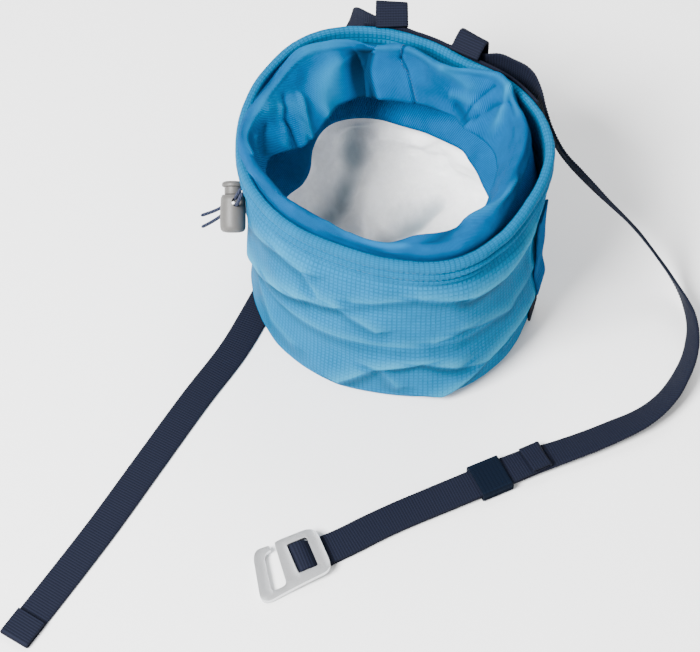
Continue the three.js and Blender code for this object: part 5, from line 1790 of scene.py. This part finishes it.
def fleece_point(u, v):
    angle, here = fleece_smooth(u, v)
    lump = ripples(here, FLEECE_RIPPLES) + fleece_fold(here.xy)
    steep = blend(0.5, 0.8, v)
    inward = polar(angle, -steep * lump, (1 - steep) * lump)
    return here + inward * (1 - blend(0.8, 0.92, v))


# Painted light of the fleece for its finish: painted shade in its sunken folds and between its lumps, painted
# highlight on its swells
def fleece_painted_light(u, v):
    here = fleece_smooth(u, v)[1]
    lumps = sum(rumple(here, row.size, row.seed) for row in FLEECE_RIPPLES[:2]) / 2
    return (fleece_fold(here.xy) / FLEECE_RISE * 0.8 + lumps * 0.7) * (1 - blend(0.88, 1, v))


class CHALKBAG_OT_fleece(bpy.types.Operator):
    """Makes the fleece lining"""

    bl_idname = "chalkbag.fleece"
    bl_label = "Fleece lining"

    def execute(self, context):
        sizes, colours = settings(context)
        flat = (tau * RIM_RADIUS, FLEECE_FLAT)
        bm = cloth(300, 130, fleece_point, flat, closed=True, crest=fleece_painted_light)
        fleece = piece("fleece_cup", bm, fleece_finish(colours), "fleece", ("fleece_lining",))
        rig.sheet(fleece, flat=flat, held="gathered", rests_on=["shell"],
                 area=tau * RIM_RADIUS * FLEECE_AREA_DEPTH)
        thicken(fleece, sizes.pile_depth)
        return {"FINISHED"}


SIDE_ANGLE = 343
SIDE_WIDTH = 0.015
Band = namedtuple("Band", "top bottom thickness bulge")
SIDE_LOOP = Band(0.082, 0.027, 0.0012, 0.0003)
SIDE_WEBBING = Band(0.024, 0.004, 0.0013, 0)
TWILL_RIB_PITCH = 0.0011


def side_stations(band):
    """The stations of a band down the wall at the side holder."""
    reach = SIDE_WIDTH / 2 / RIM_RADIUS * 180 / pi
    points = []
    for share in (1, 0.93, 0.75, 0.5, 0.25, 0.07, 0):
        height = band.bottom + (band.top - band.bottom) * share
        beside = [SIDE_ANGLE + side * reach for side in (-1, -0.5, 0, 0.5, 1)]
        wall = max(wall_radius(a, height) + fold_relief(a, height)[0] for a in beside)
        out = CLEARANCE + band.thickness / 2 + band.bulge * min(1, 6 * share * (1 - share))
        points.append(polar(SIDE_ANGLE, wall + out, height))
    across = polar(SIDE_ANGLE + 90, 1, 0)
    return measured([(through(points, k / 60), across) for k in range(61)])


class CHALKBAG_OT_side_holder(bpy.types.Operator):
    """Makes the holder on the right side: a twill loop and the webbing under it"""

    bl_idname = "chalkbag.side_holder"
    bl_label = "Side holder"

    def execute(self, context):
        sizes, colours = settings(context)
        twill = shared("collar twill", lambda: twill_finish(colours, sizes))
        for name, node, band, pitch, finish, slot in (
            ("side_twill_loop", "side_loop", SIDE_LOOP, TWILL_RIB_PITCH, twill, "twill"),
            ("side_strap", "side_webbing", SIDE_WEBBING, sizes.rib_pitch,
             belt_webbing(colours, sizes), "webbing"),
        ):
            made = webbing(side_stations(band), SIDE_WIDTH, band.thickness, pitch)
            piece(name, made, finish, slot, (node,))
        return {"FINISHED"}


class CHALKBAG_PT_panel(bpy.types.Panel):
    """Lists the pieces of the chalk bag"""

    bl_label = "Chalk Bag"
    bl_idname = "CHALKBAG_PT_panel"
    bl_space_type = "VIEW_3D"
    bl_region_type = "UI"
    bl_category = "Chalk Bag"

    def draw(self, context):
        sizes, colours = settings(context)
        for group in (sizes, colours):
            for name in group.bl_rna.properties.keys():
                if name not in ("rna_type", "name"):
                    self.layout.prop(group, name)
        for operator in OPERATORS:
            self.layout.operator(operator.bl_idname)


# The order matters: the camera and the cords come first
OPERATORS = (
    CHALKBAG_OT_stage,
    CHALKBAG_OT_belt,
    CHALKBAG_OT_keeper,
    CHALKBAG_OT_hook,
    CHALKBAG_OT_drawcord,
    CHALKBAG_OT_hem,
    CHALKBAG_OT_shell,
    CHALKBAG_OT_collar,
    CHALKBAG_OT_fleece,
    CHALKBAG_OT_back_webbing,
    CHALKBAG_OT_side_holder,
)
CLASSES = (ChalkBagSizes, ChalkBagColours, *OPERATORS, CHALKBAG_PT_panel)


def register():
    for cls in CLASSES:
        bpy.utils.register_class(cls)
    bpy.types.Scene.chalk_bag_sizes = bpy.props.PointerProperty(type=ChalkBagSizes)
    bpy.types.Scene.chalk_bag_colours = bpy.props.PointerProperty(type=ChalkBagColours)


def unregister():
    del bpy.types.Scene.chalk_bag_colours
    del bpy.types.Scene.chalk_bag_sizes
    for cls in reversed(CLASSES):
        bpy.utils.unregister_class(cls)


def corners(bounds):
    return [[round(value, 5) for value in corner] for corner in bounds]


def main():
    register()
    for operator in OPERATORS:
        group, name = operator.bl_idname.split(".")
        getattr(getattr(bpy.ops, group), name)()
    with open("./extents.json", "w") as report:
        json.dump({"cad": corners(CAD_BOUNDS), "visual": corners(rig.bounds())}, report)


if __name__ == "__main__":
    main()
